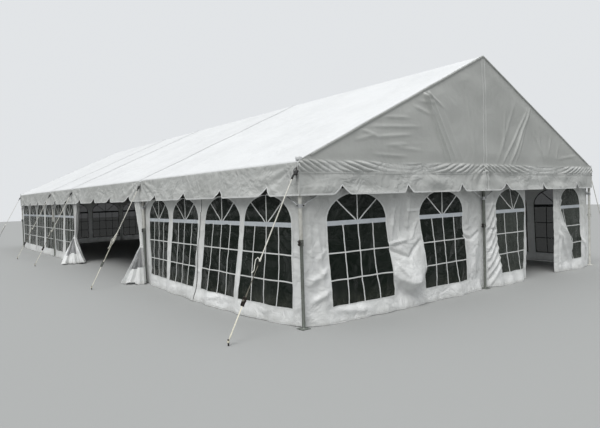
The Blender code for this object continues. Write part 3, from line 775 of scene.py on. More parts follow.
def notches(start, end, bottom, drift, runs):
    """A valance's lower edge, with a notch for each panel. runs are its two sides' widths."""
    count = max(1, round((end - start) / PANEL))
    points = []
    for index in range(count):
        tip = start + (index + 0.5) * (end - start) / count + drift * index
        before, after = runs[index % len(runs)]
        points += [(tip - before * share, bottom + NOTCH_HEIGHT * up) for share, up in NOTCH_BEFORE]
        points += [(tip + after * share, bottom + NOTCH_HEIGHT * up) for share, up in NOTCH_AFTER]
    return points


def side_notches(first):
    """The notches of one roof section's side. Those behind the first bay gape wider."""
    gape = FAR_GAPE if first else 1.0
    runs = [(before * gape, after * gape) for before, after in SIDE_NOTCHES]
    return notches(*LEG_LINES[first:first + 2], 0, SIDE_DRIFT, runs)


def slit(line, side):
    """One side of the slit for a guy line: upwards before the line, and downwards after it."""
    edge = [(line + side * width, height) for width, height in
            ((0.002, 0.0), (0.004, SLIT_BELLY * 0.7), (SLIT_HALF, SLIT_BELLY),
             (SLIT_HALF * 0.9, SLIT_TOP * 0.95), (GAP, SLIT_TOP))]
    return edge if side < 0 else edge[::-1]


def section_outline(first):
    start, end = LEG_LINES[first:first + 2]
    head = [(-END, 0), *slit(start, -1)] if start == FRONT_LINE else []
    tail = [*slit(end, 1), (END, 0)] if end == BACK_LINE else []
    near = head + slit(start, 1) + side_notches(first) + slit(end, -1) + tail
    return near + [(along, WIDTH_CUT - across) for along, across in reversed(near)]


roof_rows = np.concatenate([
    spaced(0, VALANCE + 0.12, VALANCE_STEP),
    spaced(VALANCE + 0.18, WIDTH_CUT - VALANCE - 0.18, SLOPE_STEP),
    spaced(WIDTH_CUT - VALANCE - 0.12, WIDTH_CUT, VALANCE_STEP)])
roof_hems = []
for first in range(len(LEG_LINES) - 1):
    outline = section_outline(first)
    start, end = outline[0][0], outline[len(outline) // 2 - 1][0]
    flat, faces = cut_cloth(outline, [], EDGE_STEP, spaced(start, end, ROOF_STEP), roof_rows)
    # The hanging part takes the valance's darker grey: painted shade on the roof's own cloth
    middles = flat[faces].mean(axis=1)[:, 1]
    hanging = np.minimum(middles, WIDTH_CUT - middles) < VALANCE
    section = mesh_piece(f"roof_cloth_{first + 1}", roof_path(*flat.T)[0], faces[:, ::-1],
                         [ROOF, SHADED_VALANCE], flat, hanging)
    carried(section, "roof_cloth", f"roof_section_{first + 1}")
    edge = refined([(start + GAP, 0), *side_notches(first), (end - GAP, 0)], EDGE_STEP, False)
    roof_hems.append(np.array(edge))
    told(section)

# %% [markdown]
# The sections meet on the rafter lines, where a lacing joins them and a flap covers it.
# The flap is a wide tape over the whole profile. The lower hems are narrow tapes that
# follow the notches, and a rope edge runs up each gable's rake.

# %% Flaps, hems and rakes
FLAP_WIDTH, FLAP_OFF, FLAP_WANDER = 0.13, 0.006, 0.008
HEM_WIDTH, HEM_DROP = 0.024, 0.012
ROPE_EDGE = (0.014, 0.012)                  # width and thickness of a rake's binding
TRACK_WIDTH, TRACK_DEPTH, TRACK_OUT = 0.030, 0.014, 0.004
TRACK_CUT = 6                               # points left out at each end

flap_run = spaced(SLIT_TOP + 0.03, WIDTH_CUT - SLIT_TOP - 0.03, 0.06)
flap_paths = []
for line in LEG_LINES[1:-1]:
    wander = FLAP_WANDER * ripple(flap_run, flap_run * 0, 1.1, int(line * 10) % 97)
    flap_paths.append(roof_path(line + wander, flap_run, FLAP_OFF))
tape("roof_flaps", "roof_cloth", flap_paths, FLAP_WIDTH, 0.003, ROOF)

hem_paths = []
for edge in roof_hems:
    along, across = edge.T
    hem_paths.append(roof_path(along, across + HEM_DROP, 0.002))
    hem_paths.append(roof_path(along, WIDTH_CUT - across - HEM_DROP, 0.002))
tape("roof_hems", "roof_cloth", hem_paths, HEM_WIDTH, 0.002, TAPE)

rake_run = spaced(VALANCE * 0.9, WIDTH_CUT - VALANCE * 0.9, 0.05)
rake_paths, track_paths = [], []
for side in (-1, 1):
    along = np.full(len(rake_run), side * END)
    rake_paths.append(roof_path(along, rake_run, 0.002))
    places, facing, _ = roof_path(along, rake_run)
    inner = slice(TRACK_CUT, -TRACK_CUT)
    places = places[inner] - facing[inner] * TRACK_DEPTH + (0, TRACK_OUT * side, 0)
    track_paths.append((places, facing[inner], False))
tape("rake_binding", "roof_cloth", rake_paths, *ROPE_EDGE, TAPE)
tape("rake_track", "roof_cloth", track_paths, TRACK_WIDTH, TRACK_DEPTH, SHADED_GABLE)
print("flaps:", len(flap_paths), "hems:", len(hem_paths))

# %% [markdown]
# ## Gables
# The gable cloth hangs between the two rakes, wraps the gable rail and ends in a valance.
# Over the rail it is drawn tight between the corners and the middle leg, which raises a
# band of small puckers that curve like slack strings. Long folds run down from the
# rakes to the middle, and a double seam covers the middle line.

# %% Folds in the gable cloth
# Each is where it starts and ends, across and up, then its width and its height.
GABLE_FOLDS = (
    (-2.12, 4.18, -1.06, 2.45, 0.030, 0.042), (-1.98, 4.05, -1.24, 2.50, 0.026, 0.036),
    (-1.84, 3.98, -0.90, 2.45, 0.028, 0.024), (-1.96, 3.82, -1.30, 3.46, 0.022, 0.020),
    (-1.98, 3.84, -1.46, 3.28, 0.022, 0.020), (-1.30, 3.40, -0.70, 2.45, 0.045, 0.012),
    (-0.60, 3.90, -0.30, 2.45, 0.040, 0.010), (1.72, 3.70, 0.92, 2.46, 0.026, 0.034),
    (1.62, 3.66, 0.62, 2.46, 0.024, 0.024), (1.68, 3.60, 1.12, 2.50, 0.022, 0.020),
    (1.10, 3.75, 0.42, 2.46, 0.040, 0.012), (-3.20, 3.01, -2.00, 3.07, 0.024, 0.014),
    (-3.10, 2.84, -2.15, 2.93, 0.024, 0.014), (-3.10, 2.57, -2.30, 2.55, 0.022, 0.012),
    (-2.90, 3.19, -2.20, 3.21, 0.022, 0.012), (-2.80, 2.72, -2.25, 2.76, 0.022, 0.012),
    (1.80, 3.22, 2.30, 2.57, 0.035, 0.016), (2.60, 3.12, 2.46, 2.72, 0.030, 0.013),
    (2.05, 3.30, 2.15, 2.70, 0.030, 0.011), (-2.10, 3.42, -1.60, 3.30, 0.030, 0.014),
    (-1.95, 3.52, -1.50, 3.52, 0.025, 0.012), (-3.45, 2.98, -3.00, 2.86, 0.025, 0.012),
    (-3.50, 2.78, -3.05, 2.88, 0.025, 0.010), (-2.60, 2.70, -1.90, 2.66, 0.025, 0.009),
    (0.75, 3.60, 0.62, 2.60, 0.035, 0.010), (2.95, 2.95, 2.80, 2.55, 0.030, 0.010),
    (3.90, 2.72, 2.90, 2.62, 0.030, 0.011))
print("folds in the gable cloth:", len(GABLE_FOLDS))

# %% How the gable cloth hangs
TUCK = 0.0033                               # the gable's edges stay this far under the roof's
GABLE_EDGE = HALF + SKIN - TUCK
RAIL_BAND = RAIL_Z + 0.028                  # where the triangle turns into the valance
PUCKER_PITCH, PUCKER_HEIGHT, PUCKER_CURVE = 0.082, 0.030, 0.135
BAND_SEAM, BAND_TOP = 2.265, 2.47
GABLE_FLARE, LEG_FAN = 0.045, 0.024


def gable_lift(x, z):
    """How far the gable cloth stands off its face."""
    # The puckered band follows strings that hang between the corners and the middle leg
    panel = np.abs(x) - HALF / 2
    string = z - PUCKER_CURVE * panel ** 2 + 0.006 * ripple(x, z, 0.5, 29)
    band = blended(z, BAND_SEAM - 0.01, BAND_SEAM + 0.05) * (1 - blended(z, 2.41, BAND_TOP))
    strong = 0.25 + 0.75 * blended(np.abs(panel), 0.4, 1.3)
    strong = strong * (0.8 + 0.35 * ripple(x, z, 0.8, 21))
    pucker = 1 - (0.5 + 0.5 * np.sin(2 * math.pi * string / PUCKER_PITCH)) ** 2.2
    lift = PUCKER_HEIGHT * band * strong * pucker

    # The triangle above it is flat at the rakes, and has the long folds
    to_rake = np.clip((CROWN_Z - z) - np.abs(x) * math.tan(PITCH), 0, 1)
    upper = blended(z, RAIL_BAND, RAIL_BAND + 0.25) * np.minimum(1, to_rake * 5)
    lift += upper * (0.012 + 0.006 * ripple(x, z, 0.9, 23))
    lift += sum(fold(x, z, *line) for line in GABLE_FOLDS) * np.minimum(1, to_rake * 14)

    # The valance flares, fans out from the middle leg and has level ripples
    under = np.clip((RAIL_BAND - z) / (RAIL_BAND - VALANCE_BOTTOM), 0, 1)
    corner = 0.1 + 0.9 * blended(GABLE_EDGE - np.abs(x), 0.0, 0.6)
    angle = np.arctan2(RAIL_BAND + 0.05 - z, np.abs(x) + 0.001)
    lift += LEG_FAN * np.cos(9 * angle) * np.exp(-(x / 0.55) ** 2) * blended(under, 0.05, 0.4)
    lift += corner * (GABLE_FLARE * under ** 1.5 + 0.006 * under * ripple(x, z * 2, 0.5, 25)
                      + 0.020 * under * ripple(x * 0.7, z * 2.5, 0.6, 27))
    return np.maximum(lift, 0.001)


rising = spaced(VALANCE_BOTTOM, CROWN_Z, 0.01)
print("half way to a corner the gable cloth stands out by up to",
      round(1000 * gable_lift(np.full(len(rising), HALF / 2), rising).max()), "mm")

# %% Cut and hang both gables
GABLE_DRIFT = -0.016
GABLE_NOTCHES = ((0.17, 0.17), (0.09, 0.14), (0.10, 0.14), (0.24, 0.15), (0.07, 0.12),
                 (0.06, 0.15))
COVER_WIDTH, SEAM_WIDTH, CORNER_WIDTH = 0.10, 0.010, 0.022
SEAM_HALF, SEAM_TOP = 0.045, CROWN_Z - 0.02
EAVE_TOP = RAIL_Z + SKIN * math.cos(PITCH)

over_tube = (SKIN - TUCK) / math.cos(PITCH)
slope_foot = RAIL_Z + over_tube - (GABLE_EDGE - HALF) * math.tan(PITCH)
low_edge = [(-GABLE_EDGE, VALANCE_BOTTOM),
            *notches(-HALF, HALF, VALANCE_BOTTOM, GABLE_DRIFT, GABLE_NOTCHES),
            (GABLE_EDGE, VALANCE_BOTTOM)]
outline = [*low_edge, (GABLE_EDGE, slope_foot), (0, CROWN_Z + over_tube),
           (-GABLE_EDGE, slope_foot)]
for word, side, step in (("front", -1, 0.022), ("back", 1, 0.04)):
    def place(x, z):
        return np.stack([x, side * (END + gable_lift(x, z)), z], axis=1)

    def on_gable(points, off):
        return path_on(place, (0, side, 0), points, off)

    rows = np.concatenate([spaced(VALANCE_BOTTOM, 2.20, step), spaced(2.21, BAND_TOP, step / 2.2),
                           spaced(2.49, roof_high.z, step)])
    flat, faces = cut_cloth(outline, [], 0.025, spaced(-GABLE_EDGE, GABLE_EDGE, step), rows)
    # The triangle takes the gable's darker grey and the valance the lighter one: both painted shade
    hangs = flat[faces].mean(axis=1)[:, 1] < RAIL_BAND
    sheet = mesh_piece(f"gable_{word}", place(*flat.T), faces[:, ::-side], [SHADED_GABLE, SHADED_VALANCE],
                       flat, hangs)
    carried(sheet, "roof_cloth", f"gable_cloth_{word}")
    hem = on_gable([(x, z + HEM_DROP) for x, z in low_edge], 0.002)
    tape(f"gable_hem_{word}", "roof_cloth", [hem], HEM_WIDTH, 0.002, TAPE)
    edges = [on_gable([(x, VALANCE_BOTTOM + 0.01), (x, EAVE_TOP - 0.05)], 0.003)
             for x in (-GABLE_EDGE + 0.004, GABLE_EDGE - 0.004)]
    edges.append(on_gable([(x * (GABLE_EDGE - 0.02), BAND_SEAM) for x in (-1, 1)], 0.002))
    tape(f"corner_binding_{word}", "roof_cloth", edges, CORNER_WIDTH, 0.006,
         SHADED_VALANCE)
    cover, *seams = [on_gable([(x, SEAM_TOP), (x, VALANCE_BOTTOM + 0.02)], off)
                     for x, off in ((0, 0.0015), (-SEAM_HALF, 0.002), (SEAM_HALF, 0.002))]
    tape(f"gable_seam_{word}", "roof_cloth", [cover], COVER_WIDTH, 0.001, SHADED_GABLE)
    tape(f"gable_seam_edges_{word}", "roof_cloth", seams, SEAM_WIDTH, 0.005, TAPE)
    told(sheet)

# %% [markdown]
# ## Hung walls
# Each wall hangs from its top edge inside the legs, and its lower part bellies out over
# the ground between them. That belly is a curve along the wall, fading to nothing at
# the height of the windows' cross band. A class keeps what belongs to one wall: where it
# hangs, its windows, its belly and its creases, and it hangs any flat point.

# %% A window's outline and bars
SILL, SPRING, RISE = 0.25, 1.54, 0.42
BAND_Z, BAR_HEIGHTS = 1.50, (0.635, 1.045)
ARCH_STEPS, FAN_BARS = 16, (48, 90, 132)


class Window:
    """An arched window between two edges. An edge is a place, or (height, place) points.

    uprights are where its upright bars stand, as shares of its width, and the fan of
    slanting bars starts on the band at share fan, or is hidden in folds if fan is None.
    """

    def __init__(self, left, right, uprights=(0.25, 0.5, 0.75), fan=0.5):
        self.edges = [edge if isinstance(edge, tuple) else ((0, edge),)
                      for edge in (left, right)]
        self.uprights, self.fan = uprights, fan

    def at(self, share, z):
        left, right = (np.interp(z, *zip(*edge)) for edge in self.edges)
        return left + (right - left) * share

    def arch(self, angle, lap=0.0):
        half = (self.at(1, SPRING) - self.at(0, SPRING)) / 2 + lap
        return self.at(0.5, SPRING) + half * math.cos(angle), SPRING + (RISE + lap) * math.sin(angle)

    def outline(self, lap=0.0):
        heights = spaced(SILL - lap, SPRING, 0.12)
        points = [(self.at(0, z) - lap, z) for z in reversed(heights)]
        points += [(self.at(1, z) + lap, z) for z in heights[:-1]]
        points += [self.arch(math.pi * step / ARCH_STEPS, lap) for step in range(ARCH_STEPS)]
        return [(float(u), float(v)) for u, v in points]

    def level(self, z):
        return [(self.at(0, z), z), (self.at(1, z), z)]

    def bars(self):
        """Upright, level and slanting bars, each as flat points."""
        lines = [[(self.at(share, z), z) for z in spaced(SILL, BAND_Z, 0.15)]
                 for share in self.uprights]
        lines += [self.level(z) for z in BAR_HEIGHTS]
        if self.fan is not None:
            foot = self.at(self.fan, BAND_Z), BAND_Z
            lines += [[foot, self.arch(angle)] for angle in np.radians(FAN_BARS)]
        return lines


print("bars in a plain window:", len(Window(0.1, 1.4).bars()))

# %% A wall
BELLY_TOP, BELLY_LOW, FOLD_STRENGTH, KICK = 1.62, 0.20, 1.7, 0.045
PRESSED_IN, TOP_SLACK = 0.009, 0.012        # at the legs, and the most above the windows


class Wall:
    """A hung wall. facing is the axis that it looks along, and side its sign."""

    def __init__(self, name, facing, side, windows, belly, step=0.045, seed=1, creases=(),
                 bags=(), laps=(), lighter_from=math.inf):
        low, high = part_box(name)
        self.name, self.side, self.windows, self.belly = name, side, windows, belly
        self.step, self.seed, self.creases, self.bags = step, seed, creases, bags
        self.laps, self.lighter_from = laps, lighter_from
        self.along_y = facing == "X"
        self.start, self.end = low[self.along_y], high[self.along_y]
        self.face = SIDE_FACE if self.along_y else GABLE_FACE
        self.out = (side, 0, 0) if self.along_y else (0, side, 0)
        self.legs = np.array(LEG_LINES if self.along_y else [-HALF, 0, HALF])

    def relief(self, u, v):
        """How far the hung cloth stands out of its flat face."""
        hang = np.clip((BELLY_TOP - v) / (BELLY_TOP - BELLY_LOW), 0, 1.08)
        out = np.interp(u, *zip(*self.belly)) * hang ** 1.15
        from_end = np.minimum(u - self.start, self.end - u)
        out += KICK * np.clip(1 - v / SILL, 0, 1) ** 1.2 * blended(from_end, 0.05, 0.5)
        foot = 1 - blended(v, 0.0, 0.45)
        out += 0.011 * foot * ripple(u, v * 0.3, 0.7, self.seed)
        out += 0.011 * ripple(u, v * 0.35, 0.42, self.seed + 1) * (0.4 + hang)
        out += 0.0028 * ripple(u, v, 0.17, self.seed + 2)
        for *line, height in self.creases:
            out += fold(u, v, *line, height * FOLD_STRENGTH)
        for (cu, cv), (ru, up, down), height, smile in self.bags:
            lip = cv + smile * ((u - cu) / ru) ** 2
            rv = np.where(v > lip, up, down)
            out += height * np.exp(-((u - cu) / ru) ** 2 - ((v - lip) / rv) ** 2)

        # A leg in front presses the cloth in, and above the windows it hangs nearly flat
        gap = np.abs(u[:, None] - self.legs[None, :]).min(axis=1)
        clear = blended(gap, 0.05, 0.20)
        out = out * clear * (1 - 0.65 * blended(v, 1.60, 1.78)) - PRESSED_IN * (1 - clear)
        return np.where(v > 1.70, np.minimum(out, TOP_SLACK), out)

    def place(self, u, v):
        hem = 1 - blended(v, 0.02, 0.30)
        drop = WALL_FOOT - 0.003 - 0.003 * ripple(u, u * 0, 0.9, self.seed + 7)
        across = self.side * (self.face + self.relief(u, v))
        first, second = (across, u) if self.along_y else (u, across)
        return np.stack([first, second, np.maximum(v - hem * drop, 0.001)], axis=1)

    def path(self, points, off=0.0, closed=False):
        return path_on(self.place, self.out, points, off, self.step, closed)

    def run(self, z):
        return [(self.start, z), (self.end, z)]

    def tape(self, word, paths, width, thickness, material):
        tape(f"{self.name}_{word}", "wall_cloth", paths, width, thickness, material)


print("walls reach from", round(WALL_FOOT, 3), "to", round(WALL_TOP, 3), "m above the floor")

# %% Hang a wall with its windows, bars and bindings
BAND_WIDTH, BAR_WIDTH, BINDING_WIDTH = 0.072, 0.020, 0.026
BINDING_LAP, VINYL_BACK, TAPE_OFF, SHEET_LAP = 0.012, 0.003, 0.0022, 0.02
LAP_SHADOW, LAP_EDGE, LAP_ASIDE = 0.014, 0.040, 0.03     # a lap's painted shadow line and its white edge, and between them
PAINTED_SHADOW_LOW = {True: 1.967, False: 2.03}     # lower edge of the dark band of painted shadow, on side and gable


def wall_sheet(wall, word, flat, faces, finishes, back=0.0, which=None):
    """Flat points and triangles of a wall, hung, with the faces pointing out of the tent."""
    turned = wall.along_y == (wall.side < 0)
    places = wall.place(*flat.T) - np.array(wall.out) * back
    return mesh_piece(f"{wall.name}_{word}", places, faces[:, ::-1] if turned else faces, finishes,
                      flat, which)


def hang_wall(wall):
    """The cloth, the clear sheets, the bars and the bindings of one wall."""
    outline = wall.run(WALL_FOOT) + wall.run(WALL_TOP)[::-1]
    holes = [window.outline() for window in wall.windows]
    rows, columns = spaced(WALL_FOOT, WALL_TOP, wall.step), spaced(wall.start, wall.end, wall.step)
    cloth = wall_sheet(wall, "cloth", *cut_cloth(outline, holes, wall.step, columns, rows), [WALL])
    carried(cloth, "wall_cloth", wall.name)
    told(cloth)

    panes, triangles = [], []
    pane_step = wall.step * 1.3
    for window in wall.windows:
        pane, parts = cut_cloth(window.outline(SHEET_LAP), [], pane_step,
                                spaced(wall.start, wall.end, pane_step), rows)
        triangles.append(parts + sum(map(len, panes)))
        panes.append(pane)
    pane, parts = np.concatenate(panes), np.concatenate(triangles)
    # Panes past this place take the lighter tint, which paints less shade than the dark one
    lighter_panes = pane[parts].mean(axis=1)[:, 0] > wall.lighter_from
    sheet = wall_sheet(wall, "clear", pane, parts, [CLEAR, LIGHTER_CLEAR], VINYL_BACK, lighter_panes)
    carried(sheet, "clear_vinyl", f"{wall.name}_windows")

    wall.tape("bars", [wall.path(bar) for window in wall.windows for bar in window.bars()],
              BAR_WIDTH, 0.002, TAPE)
    wall.tape("bands", [wall.path(window.level(BAND_Z), 0.001) for window in wall.windows],
              BAND_WIDTH, 0.002, BAND)
    bindings = [wall.path(window.outline(BINDING_LAP), TAPE_OFF, True) for window in wall.windows]
    bindings.append(wall.path(wall.run(WALL_FOOT + 0.02), TAPE_OFF))
    wall.tape("bindings", bindings, BINDING_WIDTH, 0.0015, TAPE)
    # The dark band at the wall's top is painted shadow, where the valance shades the wall
    low = PAINTED_SHADOW_LOW[wall.along_y]
    middle = (low + WALL_TOP) / 2
    header = wall.path([(wall.start + 0.01, middle), (wall.end - 0.01, middle)], 0.002)
    wall.tape("header", [header], WALL_TOP - low, 0.0015, PAINTED_SHADOW)
    # Each lap is a dark line of painted shadow beside a white edge
    if wall.laps:
        lines, edges = ([wall.path([(lap + aside, WALL_FOOT + 0.01), (lap + aside, low)], off)
                         for lap in wall.laps] for aside, off in ((0, 0.003), (LAP_ASIDE, 0.006)))
        wall.tape("lap_lines", lines, LAP_SHADOW, 0.002, PAINTED_SHADOW)
        wall.tape("lap_edges", edges, LAP_EDGE, 0.002, TAPE)


# %% [markdown]
# The windows follow the frame's plain walls: their places are counted in panels of five
# feet. On the gable they are pulled out of shape: the corner panel beside the door is
# drawn aside, so its window narrows to a slanting strip. A belly is a list of places
# along the wall and how far the cloth stands out there.

# %% The plain walls
LEFT_NEAR_WINDOWS = ((0.18, 1.05), (1.14, 1.97), (2.16, 2.96), (3.09, 3.80))
PLAIN_WINDOW = (0.08, 0.92)
BELLY_SHAPE = ((0.02, 0), (0.2, 0.7), (0.5, 1), (0.8, 0.7), (0.98, 0))


def plain_windows(start, end):
    count = max(1, round((end - start) / PANEL))
    return [Window(*(start + (index + edge) * (end - start) / count for edge in PLAIN_WINDOW))
            for index in range(count)]


def even_belly(legs, size):
    """A belly of one size between each pair of legs."""
    return [(start + (end - start) * share, size * part) for start, end in zip(legs, legs[1:])
            for share, part in BELLY_SHAPE]


left_near = Wall(
    "left_wall_near", "X", -1,
    [Window(FRONT_LINE + a * PANEL, FRONT_LINE + b * PANEL) for a, b in LEFT_NEAR_WINDOWS],
    [(FRONT_LINE + run, size) for run, size in
     ((0.1, 0), (0.3, 0.02), (0.9, 0.11), (1.6, 0.185), (3.0, 0.18), (3.25, 0.165), (4.6, 0.115),
      (5.8, 0.03), (6.0, 0))],
    step=0.026, seed=31, laps=[FRONT_LINE + 2.065 * PANEL],
    creases=((-7.52, 2.2, -7.50, 0.2, 0.030, 0.020), (-7.60, 1.5, -7.40, 0.3, 0.03, 0.014),
             (-9.00, 1.9, -9.00, 0.3, 0.035, 0.016), (-6.08, 1.9, -6.06, 0.3, 0.03, 0.013),
             (-10.50, 1.6, -10.44, 0.1, 0.03, 0.018), (-10.4, 0.34, -9.6, 0.1, 0.05, 0.008),
             (-8.9, 0.22, -7.6, 0.10, 0.05, 0.009), (-7.4, 0.18, -6.2, 0.12, 0.05, 0.008),
             (-4.66, 2.0, -4.70, 0.2, 0.03, 0.015)))
far_left = Wall("left_wall_far", "X", -1, plain_windows(LEG_LINES[2], BACK_LINE),
                even_belly(LEG_LINES[2:], 0.06), step=0.04, seed=61,
                laps=[LEG_LINES[3] + 2 * PANEL], lighter_from=-math.inf)
right_side = Wall("right_wall", "X", 1, plain_windows(FRONT_LINE, BACK_LINE),
                  even_belly(LEG_LINES, 0.09), seed=71,
                  laps=[LEG_LINES[start] + 2 * PANEL for start in (0, 1, 3)])
back = Wall("back_wall", "Y", 1, plain_windows(-HALF, HALF), even_belly([-HALF, 0, HALF], 0.08),
            seed=81)
print("plain windows:", sum(len(wall.windows) for wall in (left_near, far_left, right_side, back)))

# %% The two walls of the front gable
# A bag is its centre, its half width and its reach up and down, its height and its smile.
front = Wall(
    "front_wall", "Y", -1,
    [Window(-4.05, ((0.25, -2.72), (0.36, -2.70), (0.6, -2.75), (1.4, -2.76))),
     Window(((0.25, -1.88), (1.0, -1.87), (1.5, -1.90)), -0.62),
     Window(((0.2, 0.52), (0.6, 0.47), (1.45, 0.46)),
            ((0.2, 1.50), (1.0, 1.52), (1.5, 1.56)), (0.30, 0.74), 0.60)],
    [(-4.50, 0), (-4.3, 0.05), (-4.05, 0.10), (-2.7, 0.12), (-1.9, 0.10), (-0.9, 0.09),
     (-0.3, 0.03), (0, 0), (0.25, 0.03), (0.5, 0.09), (1.3, 0.07), (1.5, 0.02), (1.6, 0)],
    step=0.021, seed=41, lighter_from=0.3,
    creases=((-4.42, 1.8, -4.36, 0.5, 0.05, 0.012), (-4.25, 1.5, -4.18, 0.3, 0.04, 0.012),
             (-4.45, 0.62, -4.10, 0.80, 0.05, 0.022), (-4.40, 0.34, -4.08, 0.50, 0.04, 0.020),
             (-4.30, 0.95, -4.10, 1.12, 0.035, 0.012), (-4.05, 0.20, -3.30, 0.12, 0.05, 0.018),
             (-2.48, 2.00, -2.64, 1.20, 0.04, 0.030), (-2.38, 1.95, -2.42, 1.22, 0.03, 0.022),
             (-2.14, 1.95, -2.20, 1.25, 0.035, 0.020), (-2.74, 1.09, -2.28, 1.14, 0.022, 0.022),
             (-2.74, 1.00, -2.30, 0.82, 0.035, -0.026), (-2.34, 0.82, -1.90, 1.12, 0.035, -0.026),
             (-1.94, 1.48, -2.16, 1.12, 0.030, 0.016), (-2.66, 0.80, -2.46, 0.52, 0.028, 0.016),
             (-0.68, 1.12, -0.42, 1.00, 0.030, -0.022), (-0.44, 1.00, -0.04, 1.18, 0.030, -0.022),
             (-0.60, 1.20, -0.40, 1.25, 0.03, 0.012), (-0.50, 1.9, -0.46, 1.2, 0.05, 0.014),
             (-0.75, 1.9, -0.72, 1.2, 0.035, 0.012), (-0.35, 0.95, -0.30, 0.2, 0.06, 0.014),
             (-0.62, 0.9, -0.58, 0.2, 0.04, 0.012), (0.06, 1.28, 0.44, 1.80, 0.032, 0.022),
             (0.06, 1.06, 0.44, 1.56, 0.030, 0.024), (0.06, 0.86, 0.45, 1.36, 0.030, 0.028),
             (0.06, 0.66, 0.46, 1.16, 0.030, 0.028), (0.06, 0.47, 0.46, 0.97, 0.030, 0.028),
             (0.06, 0.29, 0.48, 0.80, 0.030, 0.028), (0.06, 0.12, 0.50, 0.62, 0.030, 0.026),
             (0.12, 0.00, 0.52, 0.46, 0.030, 0.022), (0.1, 1.17, 0.46, 1.15, 0.02, -0.02)),
    bags=(((-2.31, 0.42), (0.36, 0.38, 0.10), 0.22, 0.15),
          ((-2.30, 1.34), (0.32, 0.40, 0.16), -0.08, 0), ((-0.50, 1.22), (0.34, 0.40, 0.10), -0.05, 0)))
corner = Wall(
    "front_corner_wall", "Y", -1,
    [Window(((0.23, 3.62), (0.58, 3.48), (1.0, 3.33), (1.38, 3.18), (1.6, 3.15)),
            ((0.2, 4.02), (0.6, 4.09), (1.4, 4.12)), (0.10,), None)],
    [(2.84, 0.0), (3.2, 0.05), (3.9, 0.08), (4.3, 0.04), (4.5, 0)],
    step=0.021, seed=51, lighter_from=0.0,
    creases=((2.90, 2.1, 2.93, 0.1, 0.035, 0.035), (3.02, 2.1, 3.06, 0.2, 0.030, 0.030),
             (3.12, 2.0, 3.24, 1.2, 0.030, 0.022), (3.10, 1.15, 3.52, 0.40, 0.050, 0.060),
             (3.00, 0.95, 3.40, 0.20, 0.040, 0.035), (3.28, 1.10, 3.62, 0.50, 0.035, 0.035),
             (4.25, 2.0, 4.22, 0.2, 0.040, 0.022), (4.38, 2.0, 4.36, 0.2, 0.030, 0.018),
             (4.05, 0.75, 4.35, 0.45, 0.04, 0.02)),
    bags=(((3.25, 0.72), (0.22, 0.3, 0.25), 0.06, 0),))
print("gable windows:", len(front.windows) + len(corner.windows))

# %% Hang all six
for wall in (left_near, front, corner, far_left, right_side, back):
    hang_wall(wall)
tabs = [front.path([(left, z), (right, z)], 0.004)
        for left, right, z in ((-2.20, -1.89, 1.64), (0.07, 0.46, 1.665))]
tape("wall_tabs", "wall_cloth", tabs, 0.05, 0.003, TAPE)

# %% [markdown]
# ## Door curtains
# The open bay's cloth is pushed to its two legs, tied at hip height, and left to flare over
# the ground. It is one sheet folded back and forth in layers. At each height the
# layers lie side by side across a line. That line is as wide as the push at the rail,
# as narrow as the tie at hip height, and as long as the flare at the foot.

# %% How a curtain folds
LAYERS, LAYER_POINTS, CURTAIN_ROWS = 7, 34, 64
TIE_Z, CURTAIN_TOP = 0.88, RAIL_Z - TUBE_RADIUS - GAP
TIE_SIZE = (0.052, 0.041, 0)                # how far the tie lies from the curtain's middle
TIE_WIDTH, TIE_THICKNESS = 0.045, 0.003
DOOR_PANEL = (LEG_LINES[2] - LEG_LINES[1]) / 2

# A curtain's values are listed at these heights. From the tie up both are alike.
HEIGHTS = (0.012, 0.30, TIE_Z - 0.10, TIE_Z, TIE_Z + 0.12, 1.55, CURTAIN_TOP)
HALVES_UP, GAPS_UP, TURNS_UP = (0.040, 0.065, 0.15, 0.215), (0.009, 0.010, 0.010, 0.010), (90,) * 4


class Curtain:
    """A gathered curtain. Its lists run from the foot up.

    outs and alongs are its middle's place from the leg line, halves are half its width, gaps
    lie between its layers, and turns are the way it faces in degrees. pane is the clear
    patch below the tie: from and to across a layer, its lower edge there, and its top.
    """

    def __init__(self, name, line, outs, alongs, halves, gaps, turns, pane, seed):
        self.name, self.pane, self.seed = name, pane, seed
        self.x, self.y = -HALF - np.array(outs), line + np.array(alongs)
        self.halves, self.gaps, self.turns = halves + HALVES_UP, gaps + GAPS_UP, turns + TURNS_UP

    def at(self, z, values):
        """A value read along the height, with rounded corners between its points."""
        return sum(np.interp(z + shift, HEIGHTS, values) for shift in (-0.05, 0, 0.05)) / 3

    def place(self, layer, across, z):
        turn, flare = np.radians(self.at(z, self.turns)), 1 - blended(z, 0.1, TIE_Z)
        wave = np.sin(across * math.pi * 2.6 + 0.5 * layer + self.seed)
        wave += 0.45 * np.sin(across * math.pi * 5.1 + 1.3 + self.seed * 2)
        depth = 0.012 + 0.034 * flare + 0.030 * blended(z, TIE_Z, CURTAIN_TOP)
        deep = (layer - (LAYERS - 1) / 2) * self.at(z, self.gaps) + depth * wave
        deep += 0.006 * ripple(across, z, 0.5, self.seed)
        along = self.at(z, self.halves) * across * (1 - 0.05 * np.abs(layer - 3) / 3)
        lift = 0.022 * flare * (1 + ripple(across * 0.6, across * 0, 0.5, self.seed + 3))
        return np.stack([self.at(z, self.x) + along * np.cos(turn) - deep * np.sin(turn),
                         self.at(z, self.y) + along * np.sin(turn) + deep * np.cos(turn),
                         np.maximum(z + lift * (1 - blended(z, 0.0, 0.25)), 0.004)], axis=-1)

    def clear(self, layer, across, z):
        """Whether the window's clear sheet shows here: in the pane, or in a fold above the tie."""
        start, end, sill, top = self.pane
        if z < TIE_Z - 0.06:
            return start < across < end and sill(across) < z < top
        return 0.12 < across < 0.42 and TIE_Z + 0.1 < z < 2.05 and layer < 6


print("a curtain:", LAYERS, "layers of", round(DOOR_PANEL / LAYERS, 2), "m")

# %% Hang both curtains


